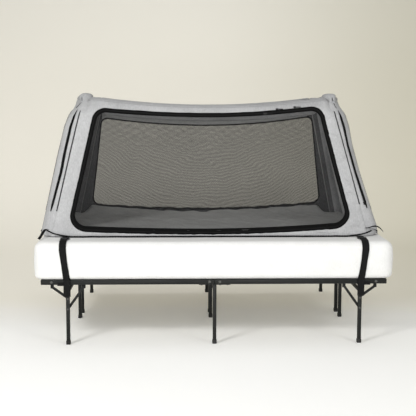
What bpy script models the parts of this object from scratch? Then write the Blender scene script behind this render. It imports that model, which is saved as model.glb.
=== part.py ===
"""An inflatable sleeping enclosure strapped to a mattress on a folding steel platform bed.

X runs along the bed, the door faces -Y, Z is up and the floor is at 0. All sizes are in metres.
"""
import math

import bmesh
import bpy
from mathutils import Euler, Matrix, Vector

# Clearances between pieces that touch or run on each other
GAP = 0.0003
PIN_PLAY = 0.0004

# Platform frame
FRAME_LENGTH = 1.865
FRAME_WIDTH = 1.36
FRAME_HEIGHT = 0.356
RAIL = 0.027
INNER_RAIL_Y = 0.067
DECK_SPLIT = 0.001
SLAT_COUNT = 5
SLAT_WIDTH = 0.032
SLAT_HEIGHT = 0.012

# Folding legs, their pivots and their braces
LEG_FROM_END = 0.1425
LEG_TUBE = 0.020
FOOT_TUBE = 0.024
FOOT_HEIGHT = 0.022
PIVOT_DROP = 0.016
LEG_HEAD = 0.010
CROSS_TUBE = 0.016
CROSS_DROP = 0.024
EAR_PLATE = 0.003
EAR_RADIUS = 0.011
ROD_RADIUS = 0.004
BRACE_WIDTH = 0.014
BRACE_PLATE = 0.004
BRACE_PIN = 0.003
BRACE_PIN_HEAD = 0.0065
BRACKET_PLATE = 0.004
BRACKET_WIDTH = 0.018
BRACKET_RISE = 0.019
TIE_FOOT = 0.004
TIE_HEAD = 0.016
STRUT_DROP = 0.118
STRUT_REACH = 0.085
HOOK_DROP = 0.062
HOOK_REACH = 0.085
STUD_RADIUS = 0.004
STUD_HEAD = 0.008
SADDLE_LENGTH = 0.17
SADDLE_WIDTH = 0.022
SADDLE_PLATE = 0.003
CLIP_X = 0.45
CLIP_WIDTH = 0.05

# Mattress and its fitted cover
MATTRESS_END_OVERHANG = 0.0425
MATTRESS_SIDE_OVERHANG = 0.015
MATTRESS_DEPTH = 0.205
MATTRESS_CORNER = 0.06
MATTRESS_TOP_EDGE = 0.045
MATTRESS_FOOT_EDGE = 0.03
MATTRESS_SIDE_SWELL = 0.004
COVER_WALL = 0.003

# Enclosure: footprint, leaning corner posts and sagging top beams
ENCLOSURE_X = -0.022
BASE_LENGTH = 1.91
BASE_WIDTH = 1.04
BASE_CORNER = 0.11
BASE_SHEET = 0.003
PIPING_RADIUS = 0.004
POST_RADIUS = 0.078
POST_FROM_END = 0.093
POST_FROM_SIDE = 0.096
POST_LEAN_ALONG = 0.178
POST_LEAN_ACROSS = 0.145
ENCLOSURE_HEIGHT = 0.788
EAR_TOP_RADIUS = 0.048
EAR_TAPER = 0.10
SLEEVE_WALL = 0.002
AIR_PLAY = 0.0005
AIR_WALL = 0.002
AIR_FOOT = 0.004
AIR_HEAD = 0.025
BEAM_RADIUS = 0.045
BEAM_SAG = 0.050
BEAM_DROP = 0.018
WALL_PANEL = 0.0025
SEAM_REACH = 0.015
SIDE_SEAM_REACH = 0.015
WALL_TOP_RISE = 0.030
ROOF_SHEET = 0.002
PAD_MARGIN = 0.055
PAD_DEPTH = 0.035
PAD_CORNER = 0.10
PAD_EDGE = 0.012
TOP_RING_INSET = 0.2

# Door in the front wall, window in the back wall: distances from the post axes, heights, corners
DOOR_FOOT_MARGIN = 0.081
DOOR_TOP_MARGIN = 0.073
DOOR_FOOT = 0.019
DOOR_TOP = 0.705
DOOR_SAG = 0.040
DOOR_CORNER = 0.075
ZIP_WIDTH = 0.024
ZIP_DEPTH = 0.004
DOOR_SHEET = 0.0016
DOOR_HINGE_PLAY = 0.0025
DOOR_HINGE_OUT = 0.0025
WINDOW_FOOT_MARGIN = 0.105
WINDOW_TOP_MARGIN = 0.044
WINDOW_FOOT = 0.045
WINDOW_TOP = 0.650
WINDOW_SAG = 0.055
WINDOW_CORNER = 0.05

# Straps that tie the enclosure down to the frame, and small fittings
STRAP_TOP_PAST_LEG = 0.022
STRAP_RAIL_PAST_LEG = 0.002
STRAP_LOOP_PAST_LEG = 0.034
STRAP_TAIL_Z = 0.265
STRAP_WIDTH = 0.038
STRAP_SHEET = 0.002
STRAP_UNDER = 0.004
BUCKLE_LENGTH = 0.030
BUCKLE_RIM = 0.006
BUCKLE_PLATE = 0.003
BUCKLE_FROM_PIPING = 0.045
SLIDER_LENGTH = 0.022
SLIDER_WIDTH = 0.012
SLIDER_DEPTH = 0.005
SLIDER_TAB = 0.030
DOOR_SLIDER_X = 0.30
SIDE_ZIP_FOOT = 0.165
SIDE_ZIP_TURN = 33.75
VALVE_HEIGHT = 0.09
VALVE_RADIUS = 0.016
VALVE_BORE = 0.010
VALVE_PROUD = 0.008
VALVE_CAP = 0.005
VALVE_DEEP = 0.012
VALVE_HOLE_DEPTH = 0.04

# Steps of the round forms
ROUND_STEPS = 16
PIN_STEPS = 12
BEAM_SIDES = 12
BEAM_STEPS = 10
CORNER_STEPS = 4
LEAST_CORNER = 0.004
PIPING_SIDES = 8
EDGE_STEPS = 8

# Lengths, heights and places that follow from the sizes above
MATTRESS_LENGTH = FRAME_LENGTH + 2 * MATTRESS_END_OVERHANG
MATTRESS_WIDTH = FRAME_WIDTH + 2 * MATTRESS_SIDE_OVERHANG
LEG_X = FRAME_LENGTH / 2 - LEG_FROM_END
STRAP_TOP_X = LEG_X + STRAP_TOP_PAST_LEG
STRAP_RAIL_X = LEG_X + STRAP_RAIL_PAST_LEG
STRAP_LOOP_X = LEG_X + STRAP_LOOP_PAST_LEG
POST_BASE_X = BASE_LENGTH / 2 - POST_FROM_END
POST_BASE_Y = BASE_WIDTH / 2 - POST_FROM_SIDE
RAIL_FOOT = FRAME_HEIGHT - RAIL
LEG_Y = FRAME_WIDTH / 2 - RAIL / 2
PIVOT_Z = RAIL_FOOT - PIVOT_DROP
BRACE_FACE_Y = LEG_Y - LEG_TUBE / 2 - GAP
BRACKET_FACE_Y = BRACE_FACE_Y - BRACE_PLATE - GAP
STUD_Z = PIVOT_Z - HOOK_DROP
STRUT_PIN_Z = PIVOT_Z - STRUT_DROP
MATTRESS_FOOT = FRAME_HEIGHT + GAP
MATTRESS_TOP = MATTRESS_FOOT + MATTRESS_DEPTH
BASE_FOOT = MATTRESS_TOP + GAP
BASE_TOP = BASE_FOOT + BASE_SHEET
ENCLOSURE_FOOT = BASE_TOP + GAP
PANEL_FACE = POST_RADIUS + GAP
BEAM_OUT = PANEL_FACE - GAP - BEAM_RADIUS
BEAM_END_RISE = ENCLOSURE_HEIGHT - BEAM_DROP - BEAM_RADIUS
LEAN_X = POST_LEAN_ALONG / ENCLOSURE_HEIGHT
LEAN_Y = POST_LEAN_ACROSS / ENCLOSURE_HEIGHT
DOOR_FOOT_HALF = POST_BASE_X - LEAN_X * DOOR_FOOT - DOOR_FOOT_MARGIN
DOOR_TOP_HALF = POST_BASE_X - LEAN_X * DOOR_TOP - DOOR_TOP_MARGIN
WINDOW_FOOT_HALF = POST_BASE_X - LEAN_X * WINDOW_FOOT - WINDOW_FOOT_MARGIN
WINDOW_TOP_HALF = POST_BASE_X - LEAN_X * WINDOW_TOP - WINDOW_TOP_MARGIN
SIDES = {"left": -1, "right": 1}
ENDS = {"front": -1, "back": 1}

# Finishes: colour, roughness, metallic
STEEL_BLACK = ((0.022, 0.024, 0.023), 0.45, 0.6)
STEEL_BRIGHT = ((0.55, 0.55, 0.55), 0.35, 1.0)
COVER_WHITE = ((0.90, 0.90, 0.88), 0.85, 0.0)
FOAM = ((0.80, 0.76, 0.66), 0.95, 0.0)
FABRIC_GREY = ((0.45, 0.46, 0.48), 0.9, 0.0)
PAD_GREY = ((0.16, 0.16, 0.165), 0.9, 0.0)
MESH_BLACK = ((0.03, 0.03, 0.03), 0.8, 0.0)
WEBBING_BLACK = ((0.008, 0.008, 0.008), 0.7, 0.0)
BLADDER = ((0.55, 0.58, 0.60), 0.35, 0.0)
PLASTIC_BLACK = ((0.012, 0.012, 0.012), 0.4, 0.0)

PARTS = bpy.data.collections.new("inflatable_travel_bed")
CUTTERS = bpy.data.collections.new("cutters")


def clear_scene():
    for obj in list(bpy.data.objects):
        bpy.data.objects.remove(obj, do_unlink=True)
    for collection in (PARTS, CUTTERS):
        bpy.context.scene.collection.children.link(collection)
    CUTTERS.hide_render = True


def make_finish(name, finish):
    """A plain material of one colour, roughness and metallic value for one part."""
    colour, roughness, metallic = finish
    material = bpy.data.materials.new(name)
    material.use_nodes = True
    shader = material.node_tree.nodes["Principled BSDF"]
    shader.inputs["Base Color"].default_value = (*colour, 1)
    shader.inputs["Roughness"].default_value = roughness
    shader.inputs["Metallic"].default_value = metallic
    material.diffuse_color = (*colour, 1)
    return material


def mesh_from(name, bm):
    bmesh.ops.recalc_face_normals(bm, faces=bm.faces)
    mesh = bpy.data.meshes.new(name)
    bm.to_mesh(mesh)
    bm.free()
    return mesh


def add_part(name, mesh, finish, pivot=(0, 0, 0)):
    """A part whose mesh is given in world places, with its origin moved to the pivot."""
    obj = bpy.data.objects.new(name, mesh)
    mesh.transform(Matrix.Translation(-Vector(pivot)))
    mesh.materials.append(make_finish(name, finish))
    obj.location = pivot
    PARTS.objects.link(obj)
    return obj


def add_cutter(name, mesh):
    obj = bpy.data.objects.new(name, mesh)
    obj.hide_render = True
    obj.display_type = "WIRE"
    CUTTERS.objects.link(obj)
    return obj


def combine(obj, other, operation):
    modifier = obj.modifiers.new(f"{operation.lower()} {other.name}", "BOOLEAN")
    modifier.object = other
    modifier.operation = operation
    modifier.solver = "EXACT"


def box(bm, one, other):
    """A box between two opposite corners, in any order."""
    low = Vector(map(min, one, other))
    high = Vector(map(max, one, other))
    size = Matrix.Diagonal((*(high - low), 1))
    bmesh.ops.create_cube(bm, size=1, matrix=Matrix.Translation((low + high) / 2) @ size)


def pin(bm, start, end, radius, sides=PIN_STEPS):
    """A round pin between two points."""
    start, end = Vector(start), Vector(end)
    turn = (end - start).to_track_quat("Z", "Y").to_matrix().to_4x4()
    bmesh.ops.create_cone(
        bm, cap_ends=True, segments=sides, radius1=radius, radius2=radius,
        depth=(end - start).length, matrix=Matrix.Translation((start + end) / 2) @ turn)


def carry(name, place, pieces, rotation=(0, 0, 0)):
    """An empty that carries pieces, so that they can be set down or turned as one."""
    empty = bpy.data.objects.new(name, None)
    empty.location = place
    empty.rotation_euler = rotation
    PARTS.objects.link(empty)
    for obj in pieces:
        obj.parent = empty


def loft(bm, rings):
    """Closed rings of equally many points, skinned in order and closed at both ends."""
    loops = [[bm.verts.new(point) for point in ring] for ring in rings]
    for one, other in zip(loops, loops[1:]):
        for k in range(len(one)):
            following = (k + 1) % len(one)
            bm.faces.new((one[k], one[following], other[following], other[k]))
    bm.faces.new(reversed(loops[0]))
    bm.faces.new(loops[-1])


def arc(centre, radius, start, end, steps):
    """Points on an arc in the plane, angles in degrees, both ends included."""
    turns = [math.radians(start + (end - start) * k / steps) for k in range(steps + 1)]
    return [(centre[0] + radius * math.cos(a), centre[1] + radius * math.sin(a)) for a in turns]


def rounded_rectangle(half_x, half_y, radius, steps=CORNER_STEPS):
    inner_x, inner_y = half_x - radius, half_y - radius
    outline = []
    for quarter, (side_x, side_y) in enumerate(((1, 1), (-1, 1), (-1, -1), (1, -1))):
        centre = (side_x * inner_x, side_y * inner_y)
        outline += arc(centre, radius, 90 * quarter, 90 * quarter + 90, steps)
    return outline


def plate(name, outlines, thickness, finish, location, rotation):
    """A flat piece cut to an outline, with any inner outlines as holes."""
    curve = bpy.data.curves.new(name, "CURVE")
    curve.dimensions = "2D"
    curve.fill_mode = "BOTH"
    curve.extrude = thickness / 2
    for outline in outlines:
        spline = curve.splines.new("POLY")
        spline.points.add(len(outline) - 1)
        for point, (u, v) in zip(spline.points, outline):
            point.co = (u, v, 0, 1)
        spline.use_cyclic_u = True
    curve.materials.append(make_finish(name, finish))
    obj = bpy.data.objects.new(name, curve)
    obj.location = location
    obj.rotation_euler = rotation
    PARTS.objects.link(obj)
    return obj


def slab_rings(half_x, half_y, corner, profile):
    """Rings of a rounded slab; the profile gives each ring's inset and height."""
    rings = []
    for inset, z in profile:
        outline = rounded_rectangle(half_x - inset, half_y - inset, max(corner - inset, LEAST_CORNER))
        rings.append([(x, y, z) for x, y in outline])
    return rings


# Platform frame

def build_deck(side, end):
    """One of the four deck panels: two rails, two end tubes, slats, pivot ears and brackets."""
    s, e = SIDES[side], ENDS[end]

    def at(x, y, z):
        return (s * x, e * y, z)

    near, far = DECK_SPLIT / 2, FRAME_LENGTH / 2
    inside, outside = INNER_RAIL_Y - RAIL / 2, FRAME_WIDTH / 2
    bm = bmesh.new()
    box(bm, at(near, outside - RAIL, RAIL_FOOT), at(far, outside, FRAME_HEIGHT))
    box(bm, at(near, inside, RAIL_FOOT), at(far, inside + RAIL, FRAME_HEIGHT))
    deck = add_part(f"deck_{end}_{side}", mesh_from("rails", bm), STEEL_BLACK)

    bm = bmesh.new()
    box(bm, at(near, inside + RAIL / 2, RAIL_FOOT), at(near + RAIL, outside - RAIL / 2, FRAME_HEIGHT))
    box(bm, at(far - RAIL, inside + RAIL / 2, RAIL_FOOT), at(far, outside - RAIL / 2, FRAME_HEIGHT))
    pitch = (far - near - RAIL) / (SLAT_COUNT + 1)
    for k in range(SLAT_COUNT):
        x = near + RAIL / 2 + pitch * (k + 1)
        box(bm, at(x - SLAT_WIDTH / 2, inside + RAIL / 2, FRAME_HEIGHT - SLAT_HEIGHT),
            at(x + SLAT_WIDTH / 2, outside - RAIL / 2, FRAME_HEIGHT))
    combine(deck, add_cutter(f"{deck.name}_crossbars", mesh_from("crossbars", bm)), "UNION")

    bm = bmesh.new()
    for y in (LEG_Y, INNER_RAIL_Y):
        for way in (-1, 1):
            near_face = y + way * (LEG_TUBE / 2 + GAP)
            outline = [(LEG_X + edge, RAIL_FOOT + RAIL / 2) for edge in (EAR_RADIUS, -EAR_RADIUS)]
            outline += arc((LEG_X, PIVOT_Z), EAR_RADIUS, 180, 360, 2 * CORNER_STEPS)
            far_face = near_face + way * EAR_PLATE
            loft(bm, [[at(x, face, z) for x, z in outline] for face in (near_face, far_face)])
    for x in (LEG_X + HOOK_REACH, LEG_X - STRUT_REACH):
        low_z, high_z = PIVOT_Z - BRACKET_WIDTH / 2, RAIL_FOOT + BRACKET_RISE
        box(bm, at(x - BRACKET_WIDTH / 2, BRACKET_FACE_Y, low_z),
            at(x + BRACKET_WIDTH / 2, BRACKET_FACE_Y - BRACKET_PLATE, high_z))
    combine(deck, add_cutter(f"{deck.name}_ears", mesh_from("ears", bm)), "UNION")

    bm = bmesh.new()
    for x in (LEG_X + HOOK_REACH, LEG_X - STRUT_REACH):
        box(bm, at(x - BRACKET_WIDTH / 2, BRACKET_FACE_Y - BRACKET_PLATE / 2, RAIL_FOOT + TIE_FOOT),
            at(x + BRACKET_WIDTH / 2, outside - RAIL / 2, RAIL_FOOT + TIE_HEAD))
    pin(bm, at(LEG_X + HOOK_REACH, BRACE_FACE_Y, PIVOT_Z),
        at(LEG_X + HOOK_REACH, BRACKET_FACE_Y - BRACKET_PLATE / 2, PIVOT_Z), BRACE_PIN)
    combine(deck, add_cutter(f"{deck.name}_ties", mesh_from("ties", bm)), "UNION")

    bm = bmesh.new()
    pin(bm, at(LEG_X, inside - RAIL, PIVOT_Z), at(LEG_X, outside + RAIL, PIVOT_Z),
        ROD_RADIUS + PIN_PLAY)
    combine(deck, add_cutter(f"{deck.name}_bores", mesh_from("bores", bm)), "DIFFERENCE")


def build_half_clip(side):
    """The clip under the two inner rails that keeps the front and back halves together."""
    s = SIDES[side]
    reach = INNER_RAIL_Y + RAIL / 2
    tongue = INNER_RAIL_Y - RAIL / 2 - GAP
    bm = bmesh.new()
    box(bm, (s * (CLIP_X - CLIP_WIDTH / 2), -reach, RAIL_FOOT - GAP - SADDLE_PLATE),
        (s * (CLIP_X + CLIP_WIDTH / 2), reach, RAIL_FOOT - GAP))
    clip = add_part(f"half_clip_{side}", mesh_from("clip", bm), STEEL_BLACK)
    bm = bmesh.new()
    for way in (-1, 1):
        box(bm, (s * (CLIP_X - CLIP_WIDTH / 2), way * tongue, RAIL_FOOT - GAP - SADDLE_PLATE / 2),
            (s * (CLIP_X + CLIP_WIDTH / 2), way * (tongue - SADDLE_PLATE), FRAME_HEIGHT - SLAT_HEIGHT))
    combine(clip, add_cutter(f"{clip.name}_tongues", mesh_from("tongues", bm)), "UNION")


def build_leg_frame(side, end):
    """A pair of legs on a cross tube: folding at the ends, bolted under both decks in the middle."""
    s, e = SIDES.get(side, 1), ENDS[end]
    folding = side in SIDES
    x0 = LEG_X if folding else 0
    head = PIVOT_Z + LEG_HEAD if folding else RAIL_FOOT - GAP - SADDLE_PLATE / 2

    def at(x, y, z):
        return (s * (x0 + x), e * y, z)

    name = f"leg_frame_{end}_{side}"
    half, foot = LEG_TUBE / 2, FOOT_TUBE / 2
    bm = bmesh.new()
    for y in (LEG_Y, INNER_RAIL_Y):
        box(bm, at(-half, y - half, FOOT_HEIGHT / 2), at(half, y + half, head))
    pivot = (s * x0, e * LEG_Y, PIVOT_Z)
    legs = add_part(name, mesh_from("legs", bm), STEEL_BLACK, pivot)

    bm = bmesh.new()
    tube = CROSS_TUBE / 2
    box(bm, at(-tube, INNER_RAIL_Y, PIVOT_Z - CROSS_DROP - tube),
        at(tube, LEG_Y, PIVOT_Z - CROSS_DROP + tube))
    for y in (LEG_Y, INNER_RAIL_Y):
        box(bm, at(-foot, y - foot, 0), at(foot, y + foot, FOOT_HEIGHT))
        if not folding:
            box(bm, at(-SADDLE_LENGTH / 2, y - SADDLE_WIDTH / 2, RAIL_FOOT - GAP - SADDLE_PLATE),
                at(SADDLE_LENGTH / 2, y + SADDLE_WIDTH / 2, RAIL_FOOT - GAP))
    combine(legs, add_cutter(f"{name}_cross_tube", mesh_from("cross", bm)), "UNION")
    if not folding:
        return

    stem_end = BRACKET_FACE_Y - GAP
    bm = bmesh.new()
    pin(bm, at(0, LEG_Y, STRUT_PIN_Z), at(0, stem_end, STRUT_PIN_Z), BRACE_PIN)
    pin(bm, at(0, LEG_Y, STUD_Z), at(0, stem_end, STUD_Z), STUD_RADIUS)
    combine(legs, add_cutter(f"{name}_studs", mesh_from("studs", bm)), "UNION")
    bm = bmesh.new()
    for z, radius in ((STRUT_PIN_Z, BRACE_PIN_HEAD), (STUD_Z, STUD_HEAD)):
        pin(bm, at(0, BRACKET_FACE_Y, z), at(0, BRACKET_FACE_Y - BRACKET_PLATE, z), radius)
    combine(legs, add_cutter(f"{name}_heads", mesh_from("heads", bm)), "UNION")
    bm = bmesh.new()
    pin(bm, at(0, 0, PIVOT_Z), at(0, FRAME_WIDTH / 2 + RAIL, PIVOT_Z), ROD_RADIUS + PIN_PLAY)
    combine(legs, add_cutter(f"{name}_bores", mesh_from("bores", bm)), "DIFFERENCE")


def build_pivot_rod(side, end):
    """The rod that a folding leg frame turns on, through the deck's four ears."""
    s, e = SIDES[side], ENDS[end]
    bm = bmesh.new()
    pin(bm, (s * LEG_X, e * (INNER_RAIL_Y - RAIL / 2), PIVOT_Z),
        (s * LEG_X, e * FRAME_WIDTH / 2, PIVOT_Z), ROD_RADIUS)
    add_part(f"pivot_rod_{end}_{side}", mesh_from("rod", bm), STEEL_BRIGHT)


def flat_bar(length, width, bore):
    """Outlines of a bar with round ends and a bore at its origin, lying along +u."""
    half = width / 2
    bar = arc((0, 0), half, 90, 270, CORNER_STEPS * 2)
    bar += arc((length, 0), half, -90, 90, CORNER_STEPS * 2)
    return [bar, arc((0, 0), bore, 0, 360 - 360 / ROUND_STEPS, ROUND_STEPS - 1)]


def build_brace(name, pivot, target, stop_short, s, e):
    """A flat brace beside a leg, from its pivot towards a target, both given as (x, z)."""
    run, rise = s * (target[0] - pivot[0]), target[1] - pivot[1]
    outlines = flat_bar(math.hypot(run, rise) - stop_short, BRACE_WIDTH, BRACE_PIN + PIN_PLAY)
    place = (s * pivot[0], e * (BRACE_FACE_Y - BRACE_PLATE / 2), pivot[1])
    turn = Matrix.Rotation(-math.atan2(rise, run), 3, "Y") @ Matrix.Rotation(math.pi / 2, 3, "X")
    plate(name, outlines, BRACE_PLATE, STEEL_BLACK, place, turn.to_euler())


def build_braces(side, end):
    """The inboard strut on the leg, and the outboard brace on the deck that props the leg's stud."""
    s, e = SIDES[side], ENDS[end]
    build_brace(f"fold_strut_{end}_{side}", (LEG_X, STRUT_PIN_Z), (LEG_X - STRUT_REACH, PIVOT_Z), 0, s, e)
    shortfall = STUD_RADIUS + GAP + BRACE_WIDTH / 2
    build_brace(f"hook_brace_{end}_{side}", (LEG_X + HOOK_REACH, PIVOT_Z), (LEG_X, STUD_Z), shortfall, s, e)


# Mattress

def mattress_profile(grown):
    """Inset and height of each ring of the mattress, foot to top, grown outward by a distance."""
    foot, top = MATTRESS_FOOT_EDGE, MATTRESS_TOP_EDGE
    foot_arc = arc((0, MATTRESS_FOOT + foot), foot + grown, -90, 0, 3)
    top_arc = arc((0, MATTRESS_TOP - top), top + grown, 0, 90, 3)
    profile = [(MATTRESS_SIDE_SWELL + foot - u, z) for u, z in foot_arc]
    profile.append((-grown, (MATTRESS_FOOT + MATTRESS_TOP) / 2))
    profile += [(MATTRESS_SIDE_SWELL + top - u, z) for u, z in top_arc]
    return profile


def build_mattress():
    """The foam core, and the fitted cover round its top and sides, open underneath."""
    half_x, half_y = MATTRESS_LENGTH / 2, MATTRESS_WIDTH / 2
    inner = -(COVER_WALL + GAP)
    bm = bmesh.new()
    core = mattress_profile(inner)
    core[0] = (core[0][0] + 2 * GAP, MATTRESS_FOOT)
    core.append((TOP_RING_INSET, core[-1][1]))
    loft(bm, slab_rings(half_x, half_y, MATTRESS_CORNER, core))
    add_part("mattress_core", mesh_from("core", bm), FOAM)

    outer = mattress_profile(0)
    outer.append((TOP_RING_INSET, outer[-1][1]))
    lining = mattress_profile(-COVER_WALL)
    lining[0] = (lining[0][0], MATTRESS_FOOT)
    lining.append((TOP_RING_INSET, lining[-1][1]))
    bm = bmesh.new()
    skins = [slab_rings(half_x, half_y, MATTRESS_CORNER, profile) for profile in (outer, lining)]
    loops = [[[bm.verts.new(point) for point in ring] for ring in rings] for rings in skins]
    path = loops[0][::-1] + loops[1]
    for one, other in zip(path, path[1:]):
        for k in range(len(one)):
            following = (k + 1) % len(one)
            bm.faces.new((one[k], one[following], other[following], other[k]))
    bm.faces.new(path[0])
    bm.faces.new(path[-1])
    add_part("mattress_cover", mesh_from("cover", bm), COVER_WHITE)


# Enclosure

def post_centre(z):
    """A corner post's axis at a height: its distance from the middle along X and along Y."""
    rise = z - ENCLOSURE_FOOT
    return POST_BASE_X - LEAN_X * rise, POST_BASE_Y - LEAN_Y * rise


def post_rings(s, e, radius, foot, head, head_radius, steps=ROUND_STEPS):
    """Level rings of a leaning post that tapers to its ear."""
    taper = ENCLOSURE_FOOT + ENCLOSURE_HEIGHT - EAR_TAPER
    levels = [(foot, radius), (taper, radius), ((taper + head) / 2, (radius * 2 + head_radius) / 3),
              (head, head_radius)]
    rings = []
    for z, r in levels:
        x, y = post_centre(z)
        circle = arc((s * x, e * y), r, 0, 360 - 360 / steps, steps - 1)
        rings.append([(u, v, z) for u, v in circle])
    return rings


def post_cutter(name, s, e, radius, foot, head, head_radius):
    bm = bmesh.new()
    loft(bm, post_rings(s, e, radius, foot, head, head_radius))
    return add_cutter(name, mesh_from(name, bm))


def beam_rise(share):
    """Height of a long beam's axis over the base at a share of its half length."""
    return BEAM_END_RISE - BEAM_SAG * (1 - share * share)


def beam_rings(end_or_side, radius, overshoot=0.0):
    """Rings of a top beam between the axes of its two posts; long beams sag in the middle."""
    top = ENCLOSURE_FOOT + BEAM_END_RISE
    long_beam = end_or_side in ENDS
    half = post_centre(top)[0 if long_beam else 1] + overshoot
    steps = BEAM_STEPS if long_beam else 2
    rings = []
    for k in range(steps + 1):
        run = -half + 2 * half * k / steps
        z = ENCLOSURE_FOOT + beam_rise(run / half) if long_beam else top
        out = post_centre(z)[1 if long_beam else 0] + BEAM_OUT
        circle = arc((out, z), radius, 0, 360 - 360 / BEAM_SIDES, BEAM_SIDES - 1)
        if long_beam:
            rings.append([(run, ENDS[end_or_side] * u, v) for u, v in circle])
        else:
            rings.append([(SIDES[end_or_side] * u, run, v) for u, v in circle])
    return rings


def build_base_panel():
    """The sheet under the enclosure, with the round piping sewn along its edge."""
    half_x, half_y = BASE_LENGTH / 2, BASE_WIDTH / 2
    bm = bmesh.new()
    profile = [(0, BASE_FOOT), (0, BASE_TOP)]
    loft(bm, slab_rings(half_x, half_y, BASE_CORNER, profile))
    base = add_part("base_panel", mesh_from("base", bm), FABRIC_GREY)
    rings = []
    turns = [2 * math.pi * k / PIPING_SIDES for k in range(PIPING_SIDES)]
    bm = bmesh.new()
    for a in turns:
        grown = PIPING_RADIUS * math.cos(a)
        outline = rounded_rectangle(half_x + grown, half_y + grown, BASE_CORNER + grown)
        z = BASE_FOOT + PIPING_RADIUS + PIPING_RADIUS * math.sin(a)
        rings.append([bm.verts.new((x, y, z)) for x, y in outline])
    for one, other in zip(rings, rings[1:] + rings[:1]):
        for k in range(len(one)):
            following = (k + 1) % len(one)
            bm.faces.new((one[k], one[following], other[following], other[k]))
    combine(base, add_cutter("base_panel_piping", mesh_from("piping", bm)), "UNION")


def build_floor_pad():
    """The thin pad on the base sheet, cut round the four posts."""
    half_x, half_y = BASE_LENGTH / 2 - PAD_MARGIN, BASE_WIDTH / 2 - PAD_MARGIN
    foot, top = ENCLOSURE_FOOT, ENCLOSURE_FOOT + PAD_DEPTH
    profile = [(0, foot), (0, top - PAD_EDGE), (PAD_EDGE, top), (TOP_RING_INSET, top)]
    bm = bmesh.new()
    loft(bm, slab_rings(half_x, half_y, PAD_CORNER, profile))
    pad = add_part("floor_pad", mesh_from("pad", bm), PAD_GREY)
    for side, s in SIDES.items():
        for end, e in ENDS.items():
            name = f"floor_pad_round_post_{end}_{side}"
            radius = POST_RADIUS + GAP * 2
            head = ENCLOSURE_FOOT + ENCLOSURE_HEIGHT
            combine(pad, post_cutter(name, s, e, radius, foot - PAD_DEPTH, head, radius), "DIFFERENCE")


def build_post_sleeve(side, end):
    """The fabric sleeve of a corner post: open below, closed by its ear, with a hole for each beam."""
    s, e = SIDES[side], ENDS[end]
    head = ENCLOSURE_FOOT + ENCLOSURE_HEIGHT
    bm = bmesh.new()
    loft(bm, post_rings(s, e, POST_RADIUS, ENCLOSURE_FOOT, head, EAR_TOP_RADIUS))
    sleeve = add_part(f"post_sleeve_{end}_{side}", mesh_from("sleeve", bm), FABRIC_GREY)
    inner = post_cutter(f"{sleeve.name}_inside", s, e, POST_RADIUS - SLEEVE_WALL,
                        ENCLOSURE_FOOT - SLEEVE_WALL, head - SLEEVE_WALL, EAR_TOP_RADIUS - SLEEVE_WALL)
    combine(sleeve, inner, "DIFFERENCE")
    for way in (end, side):
        bm = bmesh.new()
        radius = BEAM_RADIUS - SLEEVE_WALL
        rings = beam_rings(way, radius)
        near = rings[:2] if (s if way == end else e) < 0 else rings[-2:]
        loft(bm, near)
        combine(sleeve, add_cutter(f"{sleeve.name}_{way}_hole", mesh_from("hole", bm)), "DIFFERENCE")


def build_air_frame():
    """The inflated bladder: four posts and four top beams in one piece, hollow, with a valve hole."""
    def members(shrink, prefix):
        pieces = []
        for side, s in SIDES.items():
            for end, e in ENDS.items():
                bm = bmesh.new()
                radius = POST_RADIUS - SLEEVE_WALL - AIR_PLAY - shrink
                head = ENCLOSURE_FOOT + ENCLOSURE_HEIGHT - AIR_HEAD - shrink
                loft(bm, post_rings(s, e, radius, ENCLOSURE_FOOT + AIR_FOOT + shrink, head,
                                    EAR_TOP_RADIUS - SLEEVE_WALL - AIR_PLAY - shrink))
                pieces.append((f"{prefix}_{end}_{side}", mesh_from(prefix, bm)))
        for way in (*ENDS, *SIDES):
            bm = bmesh.new()
            loft(bm, beam_rings(way, BEAM_RADIUS - SLEEVE_WALL - AIR_PLAY - shrink))
            pieces.append((f"{prefix}_{way}", mesh_from(prefix, bm)))
        return pieces

    outer = members(0, "air_frame")
    air = add_part("air_frame", outer[0][1], BLADDER)
    for name, mesh in outer[1:]:
        combine(air, add_cutter(name, mesh), "UNION")
    inner = members(AIR_WALL, "air_inside")
    hollow = add_cutter(*inner[0])
    for name, mesh in inner[1:]:
        combine(hollow, add_cutter(name, mesh), "UNION")
    combine(air, hollow, "DIFFERENCE")
    return air


def fillet(corners, radii, steps):
    """A closed outline through corners, each rounded by its own radius."""
    outline = []
    for k, corner in enumerate(corners):
        here = Vector(corner)
        back = (Vector(corners[k - 1]) - here).normalized()
        ahead = (Vector(corners[(k + 1) % len(corners)]) - here).normalized()
        half_angle = back.angle(ahead) / 2
        centre = here + (back + ahead).normalized() * radii[k] / math.sin(half_angle)
        first = here + back * radii[k] / math.tan(half_angle) - centre
        last = here + ahead * radii[k] / math.tan(half_angle) - centre
        turn = first.angle_signed(last)
        for step in range(steps + 1):
            spoke = first.copy()
            spoke.rotate(Matrix.Rotation(-turn * step / steps, 2))
            outline.append(tuple(centre + spoke))
    return outline


def opening_outline(foot_half, top_half, foot, top, sag, corner, grown, lean):
    """A rounded trapezoid with a sagging top edge, on a wall that leans, grown outward."""
    stretch = math.hypot(1, lean)
    foot, top = foot * stretch, top * stretch
    slant = (foot_half - top_half) / (top - foot)
    wider = grown * math.hypot(1, slant)
    low, high = foot - grown, top + grown
    low_half = foot_half + slant * grown + wider
    high_half = top_half - slant * grown + wider
    corners = [(low_half, low), (high_half, high), (-high_half, high), (-low_half, low)]
    outline = fillet(corners, [corner + grown] * 4, CORNER_STEPS)
    shaped = []
    for k, (u, v) in enumerate(outline):
        shaped.append((u, v))
        if k == 2 * CORNER_STEPS + 1:
            following = outline[k + 1]
            shaped += [(u + (following[0] - u) * step / EDGE_STEPS, v) for step in range(1, EDGE_STEPS)]
    middle = (low + high) / 2
    half = top_half + slant * (top - middle)
    return [(u, v - sag * max(0, 1 - (u / half) ** 2) if v > middle else v) for u, v in shaped]


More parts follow.
